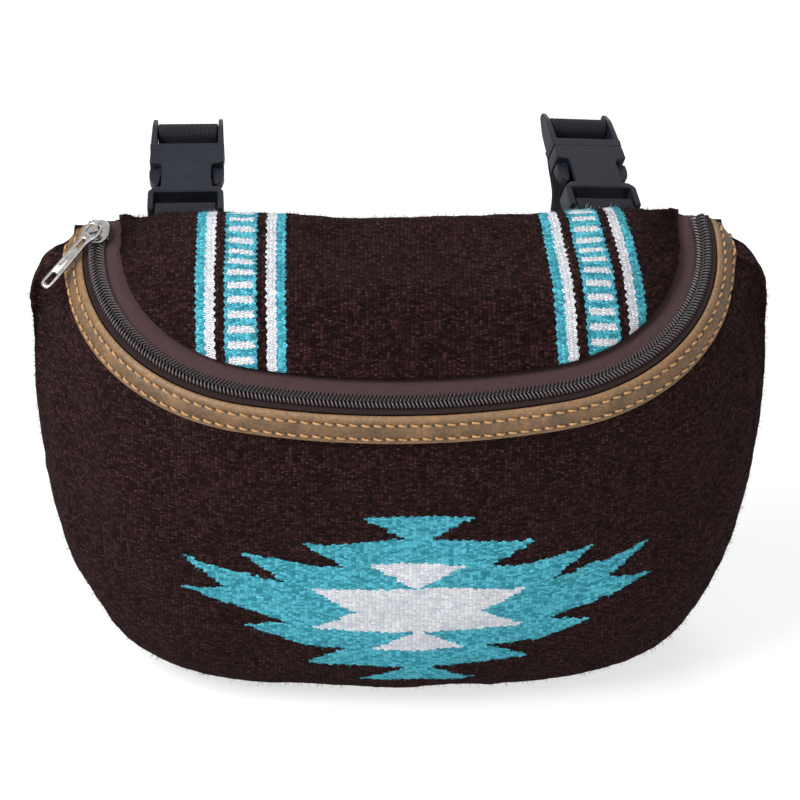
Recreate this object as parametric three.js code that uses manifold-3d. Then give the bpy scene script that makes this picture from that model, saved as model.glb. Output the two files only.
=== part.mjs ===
// Zipped saddle pouch of woven wool with a domed lid, a leather edge and two buckled webbing straps.
// Millimetres, +Z up. The pouch stands on its flattened underside, with its back panel facing +Y.

import * as THREE from 'three';
import Module from 'manifold-3d';
import { mergeGeometries, mergeVertices } from 'three/addons/utils/BufferGeometryUtils.js';
import { ParametricGeometry } from 'three/addons/geometries/ParametricGeometry.js';

const wasm = await Module();
wasm.setup();
const { Vector3 } = THREE;
const rad = THREE.MathUtils.degToRad;
const mix = THREE.MathUtils.lerp;

// Fits shared by every piece
const CLEARANCE = 0.3;
const CLOTH = 2.6;
const BACK_FACE_Y = 30;
const BACK_THICKNESS = 3;
const SEAM_Y = BACK_FACE_Y - BACK_THICKNESS - CLEARANCE;

// Track of the zip: one wide arc across the front and a tight arc at each end, in a tilted plane
const ZIP_MID_RADIUS = 300;
const ZIP_END_RADIUS = 76.5;
const ZIP_MID_HALF_ANGLE = rad(11.5);
const ZIP_TILT = rad(20);
const ZIP_ARC_Y = 12;
const ZIP_ARC_HEIGHT = 185;

// Zip
const TAPE_THICKNESS = 0.8;
const TAPE_UNDER_LID = 5;
const TAPE_SHOWN_LID = 6.7;
const TAPE_SHOWN_FRONT = 2.1;
const COIL_ROW_WIDTH = 2.4;
const COIL_HEIGHT = 2;
const COIL_PARTING = 1.6;
const SLIDER_LENGTH = 12.6;
const SLIDER_PLATE = 1.4;
const SLIDER_RUNNING_GAP = 0.4;
const SLIDER_SIDE_GAP = 0.7;
const SLIDER_FLANGE = 0.9;
const SLIDER_ANGLE = rad(-95);
const BAIL_OPENING = 3.4;
const BAIL_BAR = 1.3;
const BAIL_THICKNESS = 1.6;
const BAIL_CLEAR_HEIGHT = 4;
const PULL_LENGTH = 33;
const PULL_WIDTH = 4.6;
const PULL_HEAD_WIDTH = 7.4;
const PULL_HEAD_LENGTH = 6;
const PULL_THICKNESS = 1.3;
const PULL_CROSSBAR = 1.2;
const PULL_SWING_OUT = rad(36.5);
const PULL_DROOP = rad(18);

// Leather edge
const TRIM_WIDTH = 10.3;
const TRIM_THICKNESS = 1.5;
const TRIM_SLOPE = rad(30);

// Front panel, from under the leather edge down to the back panel's rim
const PANEL_DROP = 1.2;
const PANEL_LEAD = 10;
const PANEL_SIDE_BULGE = 29.7;
const PANEL_LOW_BULGE = 15.6;
const PANEL_SIDE_TUCK = 9.2;
const PANEL_UNDER_DIP = 7.5;
const PANEL_UNDER_REACH = 0.7;
const RIM_HALF_WIDTH = 138;
const RIM_SHOULDER_HEIGHT = 137.7;
const RIM_SQUARENESS = 5.06;
const RIM_EAR = 14;
const EAR_BULGE = 6;

// Lid
const LID_DOME = 20.4;
const LID_BACK_DIP = 4.3;
const LID_DOME_SKEW = 0.92;
const LID_DOME_FULLNESS = 2.7;
const LID_SIDE_FULLNESS = 6;
const LID_LAST_ANGLE = rad(97);

// Webbing and buckles
const WEBBING_WIDTH = 25;
const WEBBING_THICKNESS = 1.6;
const WEBBING_PLAY = 0.024;
const SHORT_STRAP_SEWN = 24;
const LONG_STRAP_BELOW_SEAM = 77.65;
const LONG_STRAP_SEWN = 24;
const LONG_STRAP_TAIL = 11;
const BUCKLE_STANDOFF = 14;
const BUCKLE_BELOW_SEAM = 10.05;
const BUCKLE_THICKNESS = 9.5;
const BUCKLE_WALL = 2.4;
const BUCKLE_EDGE = 0.7;
const SOCKET_LENGTH = 33;
const SOCKET_MOUTH = 7.5;
const SOCKET_WINDOW = 12.5;
const SOCKET_SHELL = 1.9;
const SOCKET_BAR_RADIUS = 2.2;
const SOCKET_SLOT = 5.2;
const PRONG_FLANGE = 3.6;
const PRONG_EAR_LENGTH = 17.5;
const PRONG_BAR_RADIUS = 1.8;
const PRONG_ARM = 2.5;
const PRONG_LATCH = 2.7;
const PRONG_FIT = 0.5;
const STRAPS = {
  left: { x: -87, footX: -87, yaw: rad(0), pitch: rad(20), roll: rad(0) },
  right: { x: 84, footX: 72, yaw: rad(11), pitch: rad(21.5), roll: rad(10) },
};

// Mesh fineness
const TRACK_STEPS = 60;
const PANEL_STEPS = 14;
const LID_STEPS = 8;
const TRIM_STEPS = 3;
const STRAP_STEPS_PER_POINT = 3;

// Solids from a pair of facing surfaces, given as functions of two shares from 0 to 1
function slab(outer, inner, stepsA, stepsB) {
  const between = (f, g) => (a, b, target) => target.copy(f(a)).lerp(g(a), b);
  const faces = [
    [(a, b, target) => target.copy(outer(a, b)), stepsA, stepsB],
    [(a, b, target) => target.copy(inner(1 - a, b)), stepsA, stepsB],
    [between((a) => inner(a, 0), (a) => outer(a, 0)), stepsA, 1],
    [between((a) => outer(a, 1), (a) => inner(a, 1)), stepsA, 1],
    [between((b) => outer(0, b), (b) => inner(0, b)), stepsB, 1],
    [between((b) => inner(1, b), (b) => outer(1, b)), stepsB, 1],
  ];
  return welded(mergeGeometries(faces.map((face) => new ParametricGeometry(...face))));
}

function welded(geometry) {
  const bare = geometry.index ? geometry.toNonIndexed() : geometry;
  for (const name of ['normal', 'uv']) {
    bare.deleteAttribute(name);
  }
  return mergeVertices(bare, 1e-4);
}

function solid(geometry) {
  const mesh = welded(geometry);
  const vertProperties = new Float32Array(mesh.attributes.position.array);
  const triVerts = new Uint32Array(mesh.index.array);
  return new wasm.Manifold(new wasm.Mesh({ numProp: 3, vertProperties, triVerts }));
}

function geometryOf(manifold) {
  const { vertProperties, triVerts } = manifold.getMesh();
  const geometry = new THREE.BufferGeometry();
  geometry.setAttribute('position', new THREE.BufferAttribute(vertProperties, 3));
  geometry.setIndex(new THREE.BufferAttribute(triVerts, 1));
  return geometry;
}

function box(x0, x1, y0, y1, z0, z1) {
  const geometry = new THREE.BoxGeometry(x1 - x0, y1 - y0, z1 - z0);
  return solid(geometry.translate((x0 + x1) / 2, (y0 + y1) / 2, (z0 + z1) / 2));
}

function crossBar(radius, halfLength, y) {
  const geometry = new THREE.CylinderGeometry(radius, radius, 2 * halfLength, 14);
  return solid(geometry.rotateZ(Math.PI / 2).translate(0, y, 0));
}

// A flat outline with softened edges, thick from bottom to top in z
function plate(shape, bottom, top, edge) {
  const geometry = new THREE.ExtrudeGeometry(shape, {
    depth: top - bottom - 2 * edge,
    bevelEnabled: edge > 0,
    bevelSize: edge,
    bevelOffset: -edge,
    bevelThickness: edge,
    bevelSegments: 1,
    curveSegments: 8,
  });
  return geometry.translate(0, 0, bottom + edge);
}

function normalAt(surface, a, b) {
  const step = 1e-3;
  const alongA = surface(Math.min(a + step, 1), b).sub(surface(Math.max(a - step, 0), b));
  const alongB = surface(a, Math.min(b + step, 1)).sub(surface(a, Math.max(b - step, 0)));
  return alongA.cross(alongB).normalize();
}

function offset(surface, distance) {
  return (a, b) => {
    const point = surface(a, b).addScaledVector(normalAt(surface, a, b), distance);
    point.y = Math.min(point.y, SEAM_Y);
    return point;
  };
}

// The zip's track
const zipNormal = new Vector3(0, -Math.sin(ZIP_TILT), Math.cos(ZIP_TILT));
const outwardAt = (angle) =>
  new Vector3(
    Math.sin(angle),
    -Math.cos(angle) * Math.cos(ZIP_TILT),
    -Math.cos(angle) * Math.sin(ZIP_TILT),
  );
const midLength = ZIP_MID_RADIUS * ZIP_MID_HALF_ANGLE;
const endCentreX = (ZIP_MID_RADIUS - ZIP_END_RADIUS) * Math.sin(ZIP_MID_HALF_ANGLE);
const trackHalfWidth = endCentreX + ZIP_END_RADIUS;
const QUARTER_SHARE = 0.9;
const END_CROWDING = 1.4;

// Angle of the track's outward direction at a share of its run, -1 at the left end and 1 at the right
function trackAngle(share, out, rise) {
  const reach = Math.abs(share);
  const side = Math.sign(share);
  if (reach > QUARTER_SHARE) {
    const behind = SEAM_Y - ZIP_ARC_Y + rise * Math.sin(ZIP_TILT);
    const beyond = Math.asin(behind / ((ZIP_END_RADIUS + out) * Math.cos(ZIP_TILT)));
    return side * (Math.PI / 2 + (beyond * (reach - QUARTER_SHARE)) / (1 - QUARTER_SHARE));
  }
  const quarterLength = midLength + ZIP_END_RADIUS * (Math.PI / 2 - ZIP_MID_HALF_ANGLE);
  const length = quarterLength * (1 - (1 - reach / QUARTER_SHARE) ** END_CROWDING);
  if (length < midLength) {
    return (side * length) / ZIP_MID_RADIUS;
  }
  return side * (ZIP_MID_HALF_ANGLE + (length - midLength) / ZIP_END_RADIUS);
}

// Point beside the track: out from its middle in the zip's plane, and up from that plane
function trackPoint(angle, out, rise) {
  const reach = Math.abs(angle);
  const middle = reach < ZIP_MID_HALF_ANGLE;
  const radius = middle ? ZIP_MID_RADIUS : ZIP_END_RADIUS;
  const step = ZIP_MID_RADIUS - ZIP_END_RADIUS;
  const ahead = middle ? -step * Math.cos(ZIP_MID_HALF_ANGLE) : 0;
  const point = new Vector3(
    (middle ? 0 : Math.sign(angle) * endCentreX) + radius * Math.sin(angle),
    ZIP_ARC_Y - (ahead + radius * Math.cos(angle)) * Math.cos(ZIP_TILT),
    ZIP_ARC_HEIGHT - (ahead + radius * Math.cos(angle)) * Math.sin(ZIP_TILT),
  );
  return point.addScaledVector(outwardAt(angle), out).addScaledVector(zipNormal, rise);
}

const beside = (share, out, rise) => trackPoint(trackAngle(share, out, rise), out, rise);
const shareOf = (a) => 1 - 2 * a;

// A strip that follows the track between two distances from its middle
function trackStrip(outFrom, outTo, bottom, top) {
  const at = (rise) => (a, b) => beside(shareOf(a), mix(outFrom, outTo, b), rise);
  return slab(at(top), at(bottom), TRACK_STEPS, 1);
}

// Distances across the zip, measured from the middle of the track
const chainEdge = COIL_PARTING / 2 + COIL_ROW_WIDTH;
const lidEdge = -(chainEdge + TAPE_SHOWN_LID);
const frontEdge = chainEdge + TAPE_SHOWN_FRONT + CLEARANCE;
const tapeTop = TAPE_THICKNESS / 2;
const coilBottom = tapeTop + CLEARANCE;
const coilTop = coilBottom + COIL_HEIGHT;

// How far past the track's quarter turn a share lies, from 0 to 1 at the end
function pastQuarter(share) {
  const past = Math.max(0, Math.abs(share) - QUARTER_SHARE) / (1 - QUARTER_SHARE);
  return past * past;
}

// Rim where the front panel meets the back panel
function rimPoint(share) {
  const angle = trackAngle(share, 0, 0);
  const side = Math.sign(share);
  const past = pastQuarter(share);
  const quarter = Math.min(Math.abs(angle), Math.PI / 2);
  const across = Math.min(1, Math.abs(trackPoint(quarter, 0, 0).x) / trackHalfWidth);
  const flank = Math.max(0, 1 - across ** RIM_SQUARENESS) ** (1 / RIM_SQUARENESS);
  const height = RIM_SHOULDER_HEIGHT * (1 - flank) + RIM_EAR * past;
  return new Vector3(side * RIM_HALF_WIDTH * across, SEAM_Y, height);
}

// Front panel's outer face: b runs from the leather edge down and under to the rim
function frontSurface(a, b) {
  const share = shareOf(a);
  const angle = trackAngle(share, frontEdge, -PANEL_DROP);
  const start = trackPoint(angle, frontEdge, -PANEL_DROP);
  const rim = rimPoint(share);
  const past = pastQuarter(share);
  const facing = Math.max(0, Math.cos(angle));
  const sideways = 1 - facing * facing;
  const level = new Vector3(Math.sin(angle), -Math.cos(angle), 0);
  const lead = outwardAt(angle).multiplyScalar(Math.cos(TRIM_SLOPE));
  lead.addScaledVector(zipNormal, -Math.sin(TRIM_SLOPE));
  const sideBulge = sideways * mix(PANEL_SIDE_BULGE, EAR_BULGE, past);
  const lowBulge = sideways * mix(PANEL_LOW_BULGE, EAR_BULGE / 2, past);
  const dip = PANEL_UNDER_DIP * facing;
  const upper = start.clone().addScaledVector(lead, PANEL_LEAD);
  const middle = new Vector3((start.x + rim.x) / 2, start.y, mix(start.z, rim.z, 0.58));
  middle.addScaledVector(level, sideBulge);
  const lower = new Vector3(
    mix(start.x, rim.x, 0.8),
    mix(start.y, rim.y, 0.08),
    mix(rim.z, start.z, 0.03) - dip,
  ).addScaledVector(level, lowBulge);
  const under = new Vector3(
    rim.x - PANEL_SIDE_TUCK * Math.sin(angle) * (1 - past),
    mix(rim.y, start.y, PANEL_UNDER_REACH),
    rim.z - dip,
  );
  const controls = [start, upper, middle, lower, under, rim];
  for (const control of controls) {
    control.y = mix(control.y, SEAM_Y, past);
  }
  while (controls.length > 1) {
    for (let i = 0; i + 1 < controls.length; i += 1) {
      controls[i] = controls[i].clone().lerp(controls[i + 1], b);
    }
    controls.pop();
  }
  const point = controls[0];
  point.z = Math.max(point.z, 0);
  return point;
}

// Lid's outer face: b runs from the back seam over the dome to the zip
const lidEdgeRise = coilBottom + CLOTH;
const lidHalfWidth = trackHalfWidth + lidEdge;
const lidBackHeight = ZIP_ARC_HEIGHT + (SEAM_Y - ZIP_ARC_Y) * Math.tan(ZIP_TILT) + lidEdgeRise;
const LID_CORNER = 1.5;

function lidSurface(a, b) {
  const share = shareOf(a);
  const fullAngle = trackAngle(share, lidEdge, lidEdgeRise);
  const lastAngle = Math.abs(trackAngle(1, lidEdge, lidEdgeRise));
  const beyond = Math.max(0, Math.abs(fullAngle) - Math.PI / 2) / (lastAngle - Math.PI / 2);
  const quarter = Math.min(Math.abs(fullAngle), Math.PI / 2);
  const angle = Math.sign(share) * (quarter + beyond * (LID_LAST_ANGLE - Math.PI / 2));
  const front = trackPoint(angle, lidEdge, lidEdgeRise);
  const backX = Math.abs(trackPoint(quarter, lidEdge, 0).x) + LID_CORNER * beyond;
  const across = Math.min(1, backX / lidHalfWidth);
  const backZ = lidBackHeight - LID_BACK_DIP * (1 - across ** 4);
  const point = new Vector3(Math.sign(share) * backX, SEAM_Y, backZ).lerp(front, b);
  const dome = LID_DOME * (1 - across ** LID_SIDE_FULLNESS);
  point.z += dome * (1 - Math.abs(1 - 2 * b ** LID_DOME_SKEW) ** LID_DOME_FULLNESS);
  return point;
}

// Leather edge laid on the front panel's upper border
function trimSurface(lift) {
  const lifted = offset(frontSurface, lift);
  return (a, b) => {
    let low = 0;
    let high = 0.5;
    for (let i = 0; i < 24; i += 1) {
      const half = (low + high) / 2;
      const length = borderLength(a, half);
      low = length < TRIM_WIDTH * b ? half : low;
      high = length < TRIM_WIDTH * b ? high : half;
    }
    return lifted(a, (low + high) / 2);
  };
}

function borderLength(a, b) {
  const pieces = 8;
  let length = 0;
  for (let i = 0; i < pieces; i += 1) {
    const from = frontSurface(a, (b * i) / pieces);
    length += from.distanceTo(frontSurface(a, (b * (i + 1)) / pieces));
  }
  return length;
}

// Back panel: the rim, the two ears and the lid's back seam as one outline
function backPanelGeometry() {
  const steps = TRACK_STEPS;
  const outline = [];
  const add = (point) => outline.push(new THREE.Vector2(point.x, point.z));
  for (let i = 0; i < PANEL_STEPS; i += 1) {
    add(frontSurface(1, i / PANEL_STEPS));
  }
  for (let i = 0; i <= steps; i += 1) {
    add(frontSurface(1 - i / steps, 1));
  }
  for (let i = PANEL_STEPS - 1; i >= 0; i -= 1) {
    add(frontSurface(0, i / PANEL_STEPS));
  }
  for (let i = 0; i <= steps; i += 2) {
    add(lidSurface(i / steps, 0));
  }
  const geometry = new THREE.ExtrudeGeometry(new THREE.Shape(outline), {
    depth: BACK_THICKNESS,
    bevelEnabled: false,
  });
  return geometry.rotateX(Math.PI / 2).translate(0, BACK_FACE_Y, 0);
}

// Zip slider in its own frame: x along the track, y inward, z up from the zip's plane
const plateBottom = coilTop + SLIDER_RUNNING_GAP;
const plateTop = plateBottom + SLIDER_PLATE;
const underTop = -tapeTop - SLIDER_RUNNING_GAP;
const flangeInner = chainEdge + SLIDER_SIDE_GAP;
const sliderHalfWidth = flangeInner + SLIDER_FLANGE;
const bailTop = plateTop + BAIL_CLEAR_HEIGHT + BAIL_BAR;
const pivotRise = bailTop - BAIL_BAR - CLEARANCE - PULL_CROSSBAR / 2;

function sliderGeometry() {
  const outline = new THREE.Shape();
  outline.absellipse(0, 0, SLIDER_LENGTH / 2, sliderHalfWidth, 0, 2 * Math.PI, false, 0);
  const edge = 0.25;
  let slider = solid(plate(outline, plateBottom, plateTop, edge));
  slider = slider.add(solid(plate(outline, underTop - SLIDER_PLATE, underTop, edge)));
  const flangeBottom = tapeTop + SLIDER_RUNNING_GAP;
  const flangeHalf = SLIDER_LENGTH / 4;
  for (const side of [-1, 1]) {
    const y0 = side > 0 ? flangeInner : -sliderHalfWidth + edge;
    const y1 = side > 0 ? sliderHalfWidth - edge : -flangeInner;
    slider = slider.add(box(-flangeHalf, flangeHalf, y0, y1, flangeBottom, plateBottom + edge));
  }
  const post = (COIL_PARTING - SLIDER_SIDE_GAP) / 2;
  const postEnd = -SLIDER_LENGTH / 2 + 1;
  slider = slider.add(box(postEnd, postEnd + 3, -post, post, underTop - edge, plateBottom + edge));
  const bailHalf = BAIL_OPENING / 2 + BAIL_BAR;
  const half = BAIL_THICKNESS / 2;
  const bail = box(-bailHalf, bailHalf, -half, half, plateTop - edge, bailTop);
  const opening = BAIL_OPENING / 2;
  const hole = box(-opening, opening, -half - 1, half + 1, plateTop, bailTop - BAIL_BAR);
  return geometryOf(slider.add(bail.subtract(hole)));
}

// Pull: x along the tab from its pivot, z through its thickness
function pullGeometry() {
  const head = PULL_HEAD_WIDTH / 2;
  const tab = PULL_WIDTH / 2;
  const back = -PULL_CROSSBAR / 2;
  const neck = PULL_HEAD_LENGTH + 2;
  const outline = new THREE.Shape();
  outline.moveTo(back, -head + 1);
  outline.quadraticCurveTo(back, -head, back + 1, -head);
  outline.lineTo(PULL_HEAD_LENGTH, -head);
  outline.quadraticCurveTo(neck - 0.5, -head, neck, -tab * 0.9);
  outline.lineTo(PULL_LENGTH - tab, -tab);
  outline.absarc(PULL_LENGTH - tab, 0, tab, -Math.PI / 2, Math.PI / 2, false);
  outline.lineTo(neck, tab * 0.9);
  outline.quadraticCurveTo(neck - 0.5, head, PULL_HEAD_LENGTH, head);
  outline.lineTo(back + 1, head);
  outline.quadraticCurveTo(back, head, back, head - 1);
  const rim = PULL_CROSSBAR * 0.9;
  outline.holes.push(slotHole(PULL_CROSSBAR / 2, PULL_HEAD_LENGTH - rim / 2, head - rim));
  outline.holes.push(slotHole(PULL_LENGTH - 7.5, PULL_LENGTH - 2.5, tab - rim));
  return plate(outline, -PULL_THICKNESS / 2, PULL_THICKNESS / 2, 0);
}

function slotHole(x0, x1, half) {
  const hole = new THREE.Path();
  hole.moveTo(x0, -half);
  hole.lineTo(x0, half);
  hole.lineTo(x1, half);
  hole.lineTo(x1, -half);
  hole.closePath();
  return hole;
}

// Buckle in its own frame: y along its length from the bag outward, z out of its upper face
const strapHalf = (0.5 + WEBBING_PLAY) * WEBBING_WIDTH;
const socketHalf = strapHalf + BUCKLE_WALL;
const cavityHalf = socketHalf - BUCKLE_WALL - PRONG_FIT;
const cavityRise = BUCKLE_THICKNESS / 2 - SOCKET_SHELL;
const slotEnd = 2 * SOCKET_BAR_RADIUS + SOCKET_SLOT;
const windowEnd = SOCKET_LENGTH - SOCKET_MOUTH;
const windowStart = windowEnd - SOCKET_WINDOW;
const windowHalf = cavityHalf - 2;
const prongStart = SOCKET_LENGTH + CLEARANCE;
const earStart = prongStart + PRONG_FLANGE;
const prongBarY = earStart + PRONG_EAR_LENGTH / 2;
const armOuter = cavityHalf - PRONG_FIT;

function roundedShape(half, y0, y1, corner) {
  const shape = new THREE.Shape();
  shape.moveTo(-half + corner, y0);
  shape.lineTo(half - corner, y0);
  shape.absarc(half - corner, y0 + corner, corner, -Math.PI / 2, 0, false);
  shape.lineTo(half, y1 - corner);
  shape.absarc(half - corner, y1 - corner, corner, 0, Math.PI / 2, false);
  shape.lineTo(-half + corner, y1);
  shape.absarc(-half + corner, y1 - corner, corner, Math.PI / 2, Math.PI, false);
  shape.lineTo(-half, y0 + corner);
  shape.absarc(-half + corner, y0 + corner, corner, Math.PI, 1.5 * Math.PI, false);
  return shape;
}

function socketGeometry() {
  const rise = BUCKLE_THICKNESS / 2;
  const past = 1;
  const shape = roundedShape(socketHalf, 0, SOCKET_LENGTH, 2);
  let socket = solid(plate(shape, -rise, rise, BUCKLE_EDGE));
  socket = socket.subtract(box(-strapHalf, strapHalf, -past, slotEnd, -rise - past, rise + past));
  socket = socket.add(crossBar(SOCKET_BAR_RADIUS, strapHalf + past, SOCKET_BAR_RADIUS));
  const cavityEnd = SOCKET_LENGTH + past;
  const cavityStart = windowStart - 1.5;
  socket = socket.subtract(
    box(-cavityHalf, cavityHalf, cavityStart, cavityEnd, -cavityRise, cavityRise),
  );
  for (const side of [-1, 1]) {
    const x0 = side > 0 ? windowHalf : -socketHalf - past;
    const x1 = side > 0 ? socketHalf + past : -windowHalf;
    socket = socket.subtract(box(x0, x1, windowStart, windowEnd, -rise - past, rise + past));
  }
  return geometryOf(socket);
}

function prongGeometry() {
  const rise = BUCKLE_THICKNESS / 2 - 0.4;
  const guide = cavityRise - PRONG_FIT;
  const flange = roundedShape(socketHalf - 0.4, prongStart, earStart, 1);
  let prong = solid(plate(flange, -rise, rise, BUCKLE_EDGE));
  const earEnd = earStart + PRONG_EAR_LENGTH;
  for (const side of [-1, 1]) {
    const ear = roundedShape(BUCKLE_WALL / 2, earStart - 1, earEnd, 0.9);
    const geometry = plate(ear, -rise + 0.8, rise - 0.8, 0.4);
    prong = prong.add(solid(geometry.translate(side * (strapHalf + BUCKLE_WALL / 2), 0, 0)));
    prong = prong.add(solid(plate(armShape(side), -guide, guide, 0.3)));
  }
  prong = prong.add(crossBar(PRONG_BAR_RADIUS, strapHalf + 1, prongBarY));
  prong = prong.add(box(-1.6, 1.6, windowStart + 4, prongStart + 1, -guide, guide));
  return geometryOf(prong);
}

// One latch arm, with its barb behind the socket's mouth
function armShape(side) {
  const latch = windowEnd - CLEARANCE;
  const tip = windowStart + PRONG_FIT;
  const inner = armOuter - PRONG_ARM;
  const barb = armOuter + PRONG_LATCH;
  const points = [
    [inner, prongStart + 1],
    [inner, mix(tip, latch, 0.9)],
    [armOuter - PRONG_ARM * 0.6, tip],
    [armOuter, tip],
    [barb - 0.4, mix(tip, latch, 0.4)],
    [barb, mix(tip, latch, 0.8)],
    [barb - 0.3, latch],
    [armOuter, latch],
    [armOuter, prongStart + 1],
  ];
  const ordered = side > 0 ? points : points.reverse();
  return new THREE.Shape(ordered.map(([x, y]) => new THREE.Vector2(side * x, y)));
}

// Webbing along a route, given as pairs of a centre point and the direction of the width there
function webbing(route) {
  const centre = new THREE.CatmullRomCurve3(route.map(([point]) => point), false, 'centripetal');
  const last = route.length - 1;
  const half = WEBBING_THICKNESS / 2;
  const face = (lift) => (a, b) => {
    const tangent = centre.getTangent(a);
    const before = Math.min(Math.floor(a * last), last - 1);
    const width = route[before][1].clone().lerp(route[before + 1][1], a * last - before);
    width.addScaledVector(tangent, -width.dot(tangent)).normalize();
    const up = width.clone().cross(tangent);
    const point = centre.getPoint(a).addScaledVector(up, lift);
    return point.addScaledVector(width, mix(-WEBBING_WIDTH / 2, WEBBING_WIDTH / 2, b));
  };
  return slab(face(-half), face(half), STRAP_STEPS_PER_POINT * last, 1);
}

// Points around a bar in the buckle's frame, from one turn to another, seen along +X
function aroundBar(y, radius, from, to, count) {
  const lap = radius + CLEARANCE + WEBBING_THICKNESS / 2;
  const points = [];
  for (let i = 0; i <= count; i += 1) {
    const turn = rad(mix(from, to, i / count));
    points.push(new Vector3(0, y + lap * Math.cos(turn), lap * Math.sin(turn)));
  }
  return points;
}

const strapSkinY = BACK_FACE_Y + CLEARANCE + WEBBING_THICKNESS / 2;
const buckleHeight = lidBackHeight - BUCKLE_BELOW_SEAM;
const longStrapFoot = lidBackHeight - LONG_STRAP_BELOW_SEAM;
const level = new Vector3(1, 0, 0);

// A point of the back panel's frame, and one of a buckle's frame, each with its width direction
const onPanel = (x, y, z) => [new Vector3(x, y, z), level];
const onBuckle = (buckle) => (point) => {
  const width = buckle.localToWorld(level.clone()).sub(buckle.position);
  return [buckle.localToWorld(point.clone()), width];
};

// Short strap: sewn to the back panel, around the socket's bar and back into the top seam
function shortStrapGeometry(strap, buckle) {
  const place = onBuckle(buckle);
  const lap = SOCKET_BAR_RADIUS + CLEARANCE + WEBBING_THICKNESS / 2;
  const under = place(new Vector3(0, 0, -lap));
  const over = place(new Vector3(0, -SOCKET_BAR_RADIUS, lap));
  const foot = under[0].z - 7;
  const seam = over[0].z - Math.tan(strap.pitch) * BUCKLE_STANDOFF;
  return webbing([
    onPanel(strap.x, strapSkinY, foot - SHORT_STRAP_SEWN),
    onPanel(strap.x, strapSkinY, foot - SHORT_STRAP_SEWN / 2),
    onPanel(strap.x, strapSkinY, foot - 2),
    onPanel(strap.x, strapSkinY + 1.8, foot + 2),
    under,
    ...aroundBar(SOCKET_BAR_RADIUS, SOCKET_BAR_RADIUS, -90, 90, 6).map(place),
    over,
    onPanel(strap.x, BACK_FACE_Y + CLEARANCE + 5, seam),
    onPanel(strap.x, BACK_FACE_Y + 2 * CLEARANCE, seam),
  ]);
}

// Long strap: sewn lower on the back panel, out under the buckle and around the prong's bar
function longStrapGeometry(strap, buckle) {
  const place = onBuckle(buckle);
  const leave = longStrapFoot + LONG_STRAP_SEWN;
  const lap = PRONG_BAR_RADIUS + CLEARANCE + WEBBING_THICKNESS / 2;
  const layer = WEBBING_THICKNESS + CLEARANCE;
  const turned = prongBarY - lap - 4;
  const tailRise = -lap - 2 * layer;
  return webbing([
    onPanel(strap.footX, strapSkinY, longStrapFoot),
    onPanel(strap.footX, strapSkinY, leave - 8),
    onPanel(strap.footX, strapSkinY + 1.5, leave),
    onPanel(strap.footX, strapSkinY + 12, leave + 15),
    place(new Vector3(0, 22, -15.5)),
    place(new Vector3(0, prongBarY - 11, -10.2)),
    place(new Vector3(0, prongBarY - 4, -6.8)),
    ...aroundBar(prongBarY, PRONG_BAR_RADIUS, -48, 180, 8).map(place),
    place(new Vector3(0, turned + 3.4, -lap - 0.4)),
    place(new Vector3(0, turned - 2, tailRise)),
    place(new Vector3(0, turned + 1.5 - LONG_STRAP_TAIL, tailRise - 0.2)),
  ]);
}

// Assembly
const pouch = new THREE.Group();
const wool = { color: 0x35211f, roughness: 0.95, metalness: 0 };
const tapeBrown = { color: 0x4a3a38, roughness: 0.85, metalness: 0 };
const coilBlack = { color: 0x2b2526, roughness: 0.45, metalness: 0 };
const tanLeather = { color: 0x8a6a45, roughness: 0.6, metalness: 0 };
const nickel = { color: 0xc8c8c6, roughness: 0.25, metalness: 1 };
const webbingBlack = { color: 0x1d1f24, roughness: 0.9, metalness: 0 };
const buckleBlack = { color: 0x202226, roughness: 0.5, metalness: 0 };

function addMesh(group, name, geometry, look) {
  const mesh = new THREE.Mesh(geometry, new THREE.MeshStandardMaterial(look));
  mesh.name = name;
  group.add(mesh);
}

addMesh(pouch, 'back_panel', backPanelGeometry(), wool);
addMesh(
  pouch,
  'front_panel',
  slab(frontSurface, offset(frontSurface, -CLOTH), TRACK_STEPS, PANEL_STEPS),
  wool,
);
addMesh(
  pouch,
  'lid_panel',
  slab(lidSurface, offset(lidSurface, -CLOTH), TRACK_STEPS, LID_STEPS),
  wool,
);
addMesh(
  pouch,
  'leather_trim',
  slab(trimSurface(CLEARANCE + TRIM_THICKNESS), trimSurface(CLEARANCE), TRACK_STEPS, TRIM_STEPS),
  tanLeather,
);
const halfParting = COIL_PARTING / 2;
const tapeStrip = (outFrom, outTo) => trackStrip(outFrom, outTo, -tapeTop, tapeTop);
addMesh(pouch, 'zip_tape_lid', tapeStrip(lidEdge - TAPE_UNDER_LID, -halfParting), tapeBrown);
addMesh(pouch, 'zip_tape_front', tapeStrip(halfParting, frontEdge - CLEARANCE), tapeBrown);
addMesh(pouch, 'zip_coil_lid', trackStrip(-chainEdge, -halfParting, coilBottom, coilTop), coilBlack);
addMesh(pouch, 'zip_coil_front', trackStrip(halfParting, chainEdge, coilBottom, coilTop), coilBlack);

const slider = new THREE.Group();
const inward = outwardAt(SLIDER_ANGLE).negate();
const alongTrack = inward.clone().cross(zipNormal);
slider.quaternion.setFromRotationMatrix(new THREE.Matrix4().makeBasis(alongTrack, inward, zipNormal));
slider.position.copy(trackPoint(SLIDER_ANGLE, 0, 0));
addMesh(slider, 'zip_slider', sliderGeometry(), nickel);
const pull = new THREE.Group();
pull.position.z = pivotRise;
pull.rotation.set(0, PULL_DROOP, -PULL_SWING_OUT, 'ZYX');
addMesh(pull, 'zip_pull', pullGeometry(), nickel);
slider.add(pull);
pouch.add(slider);

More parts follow.
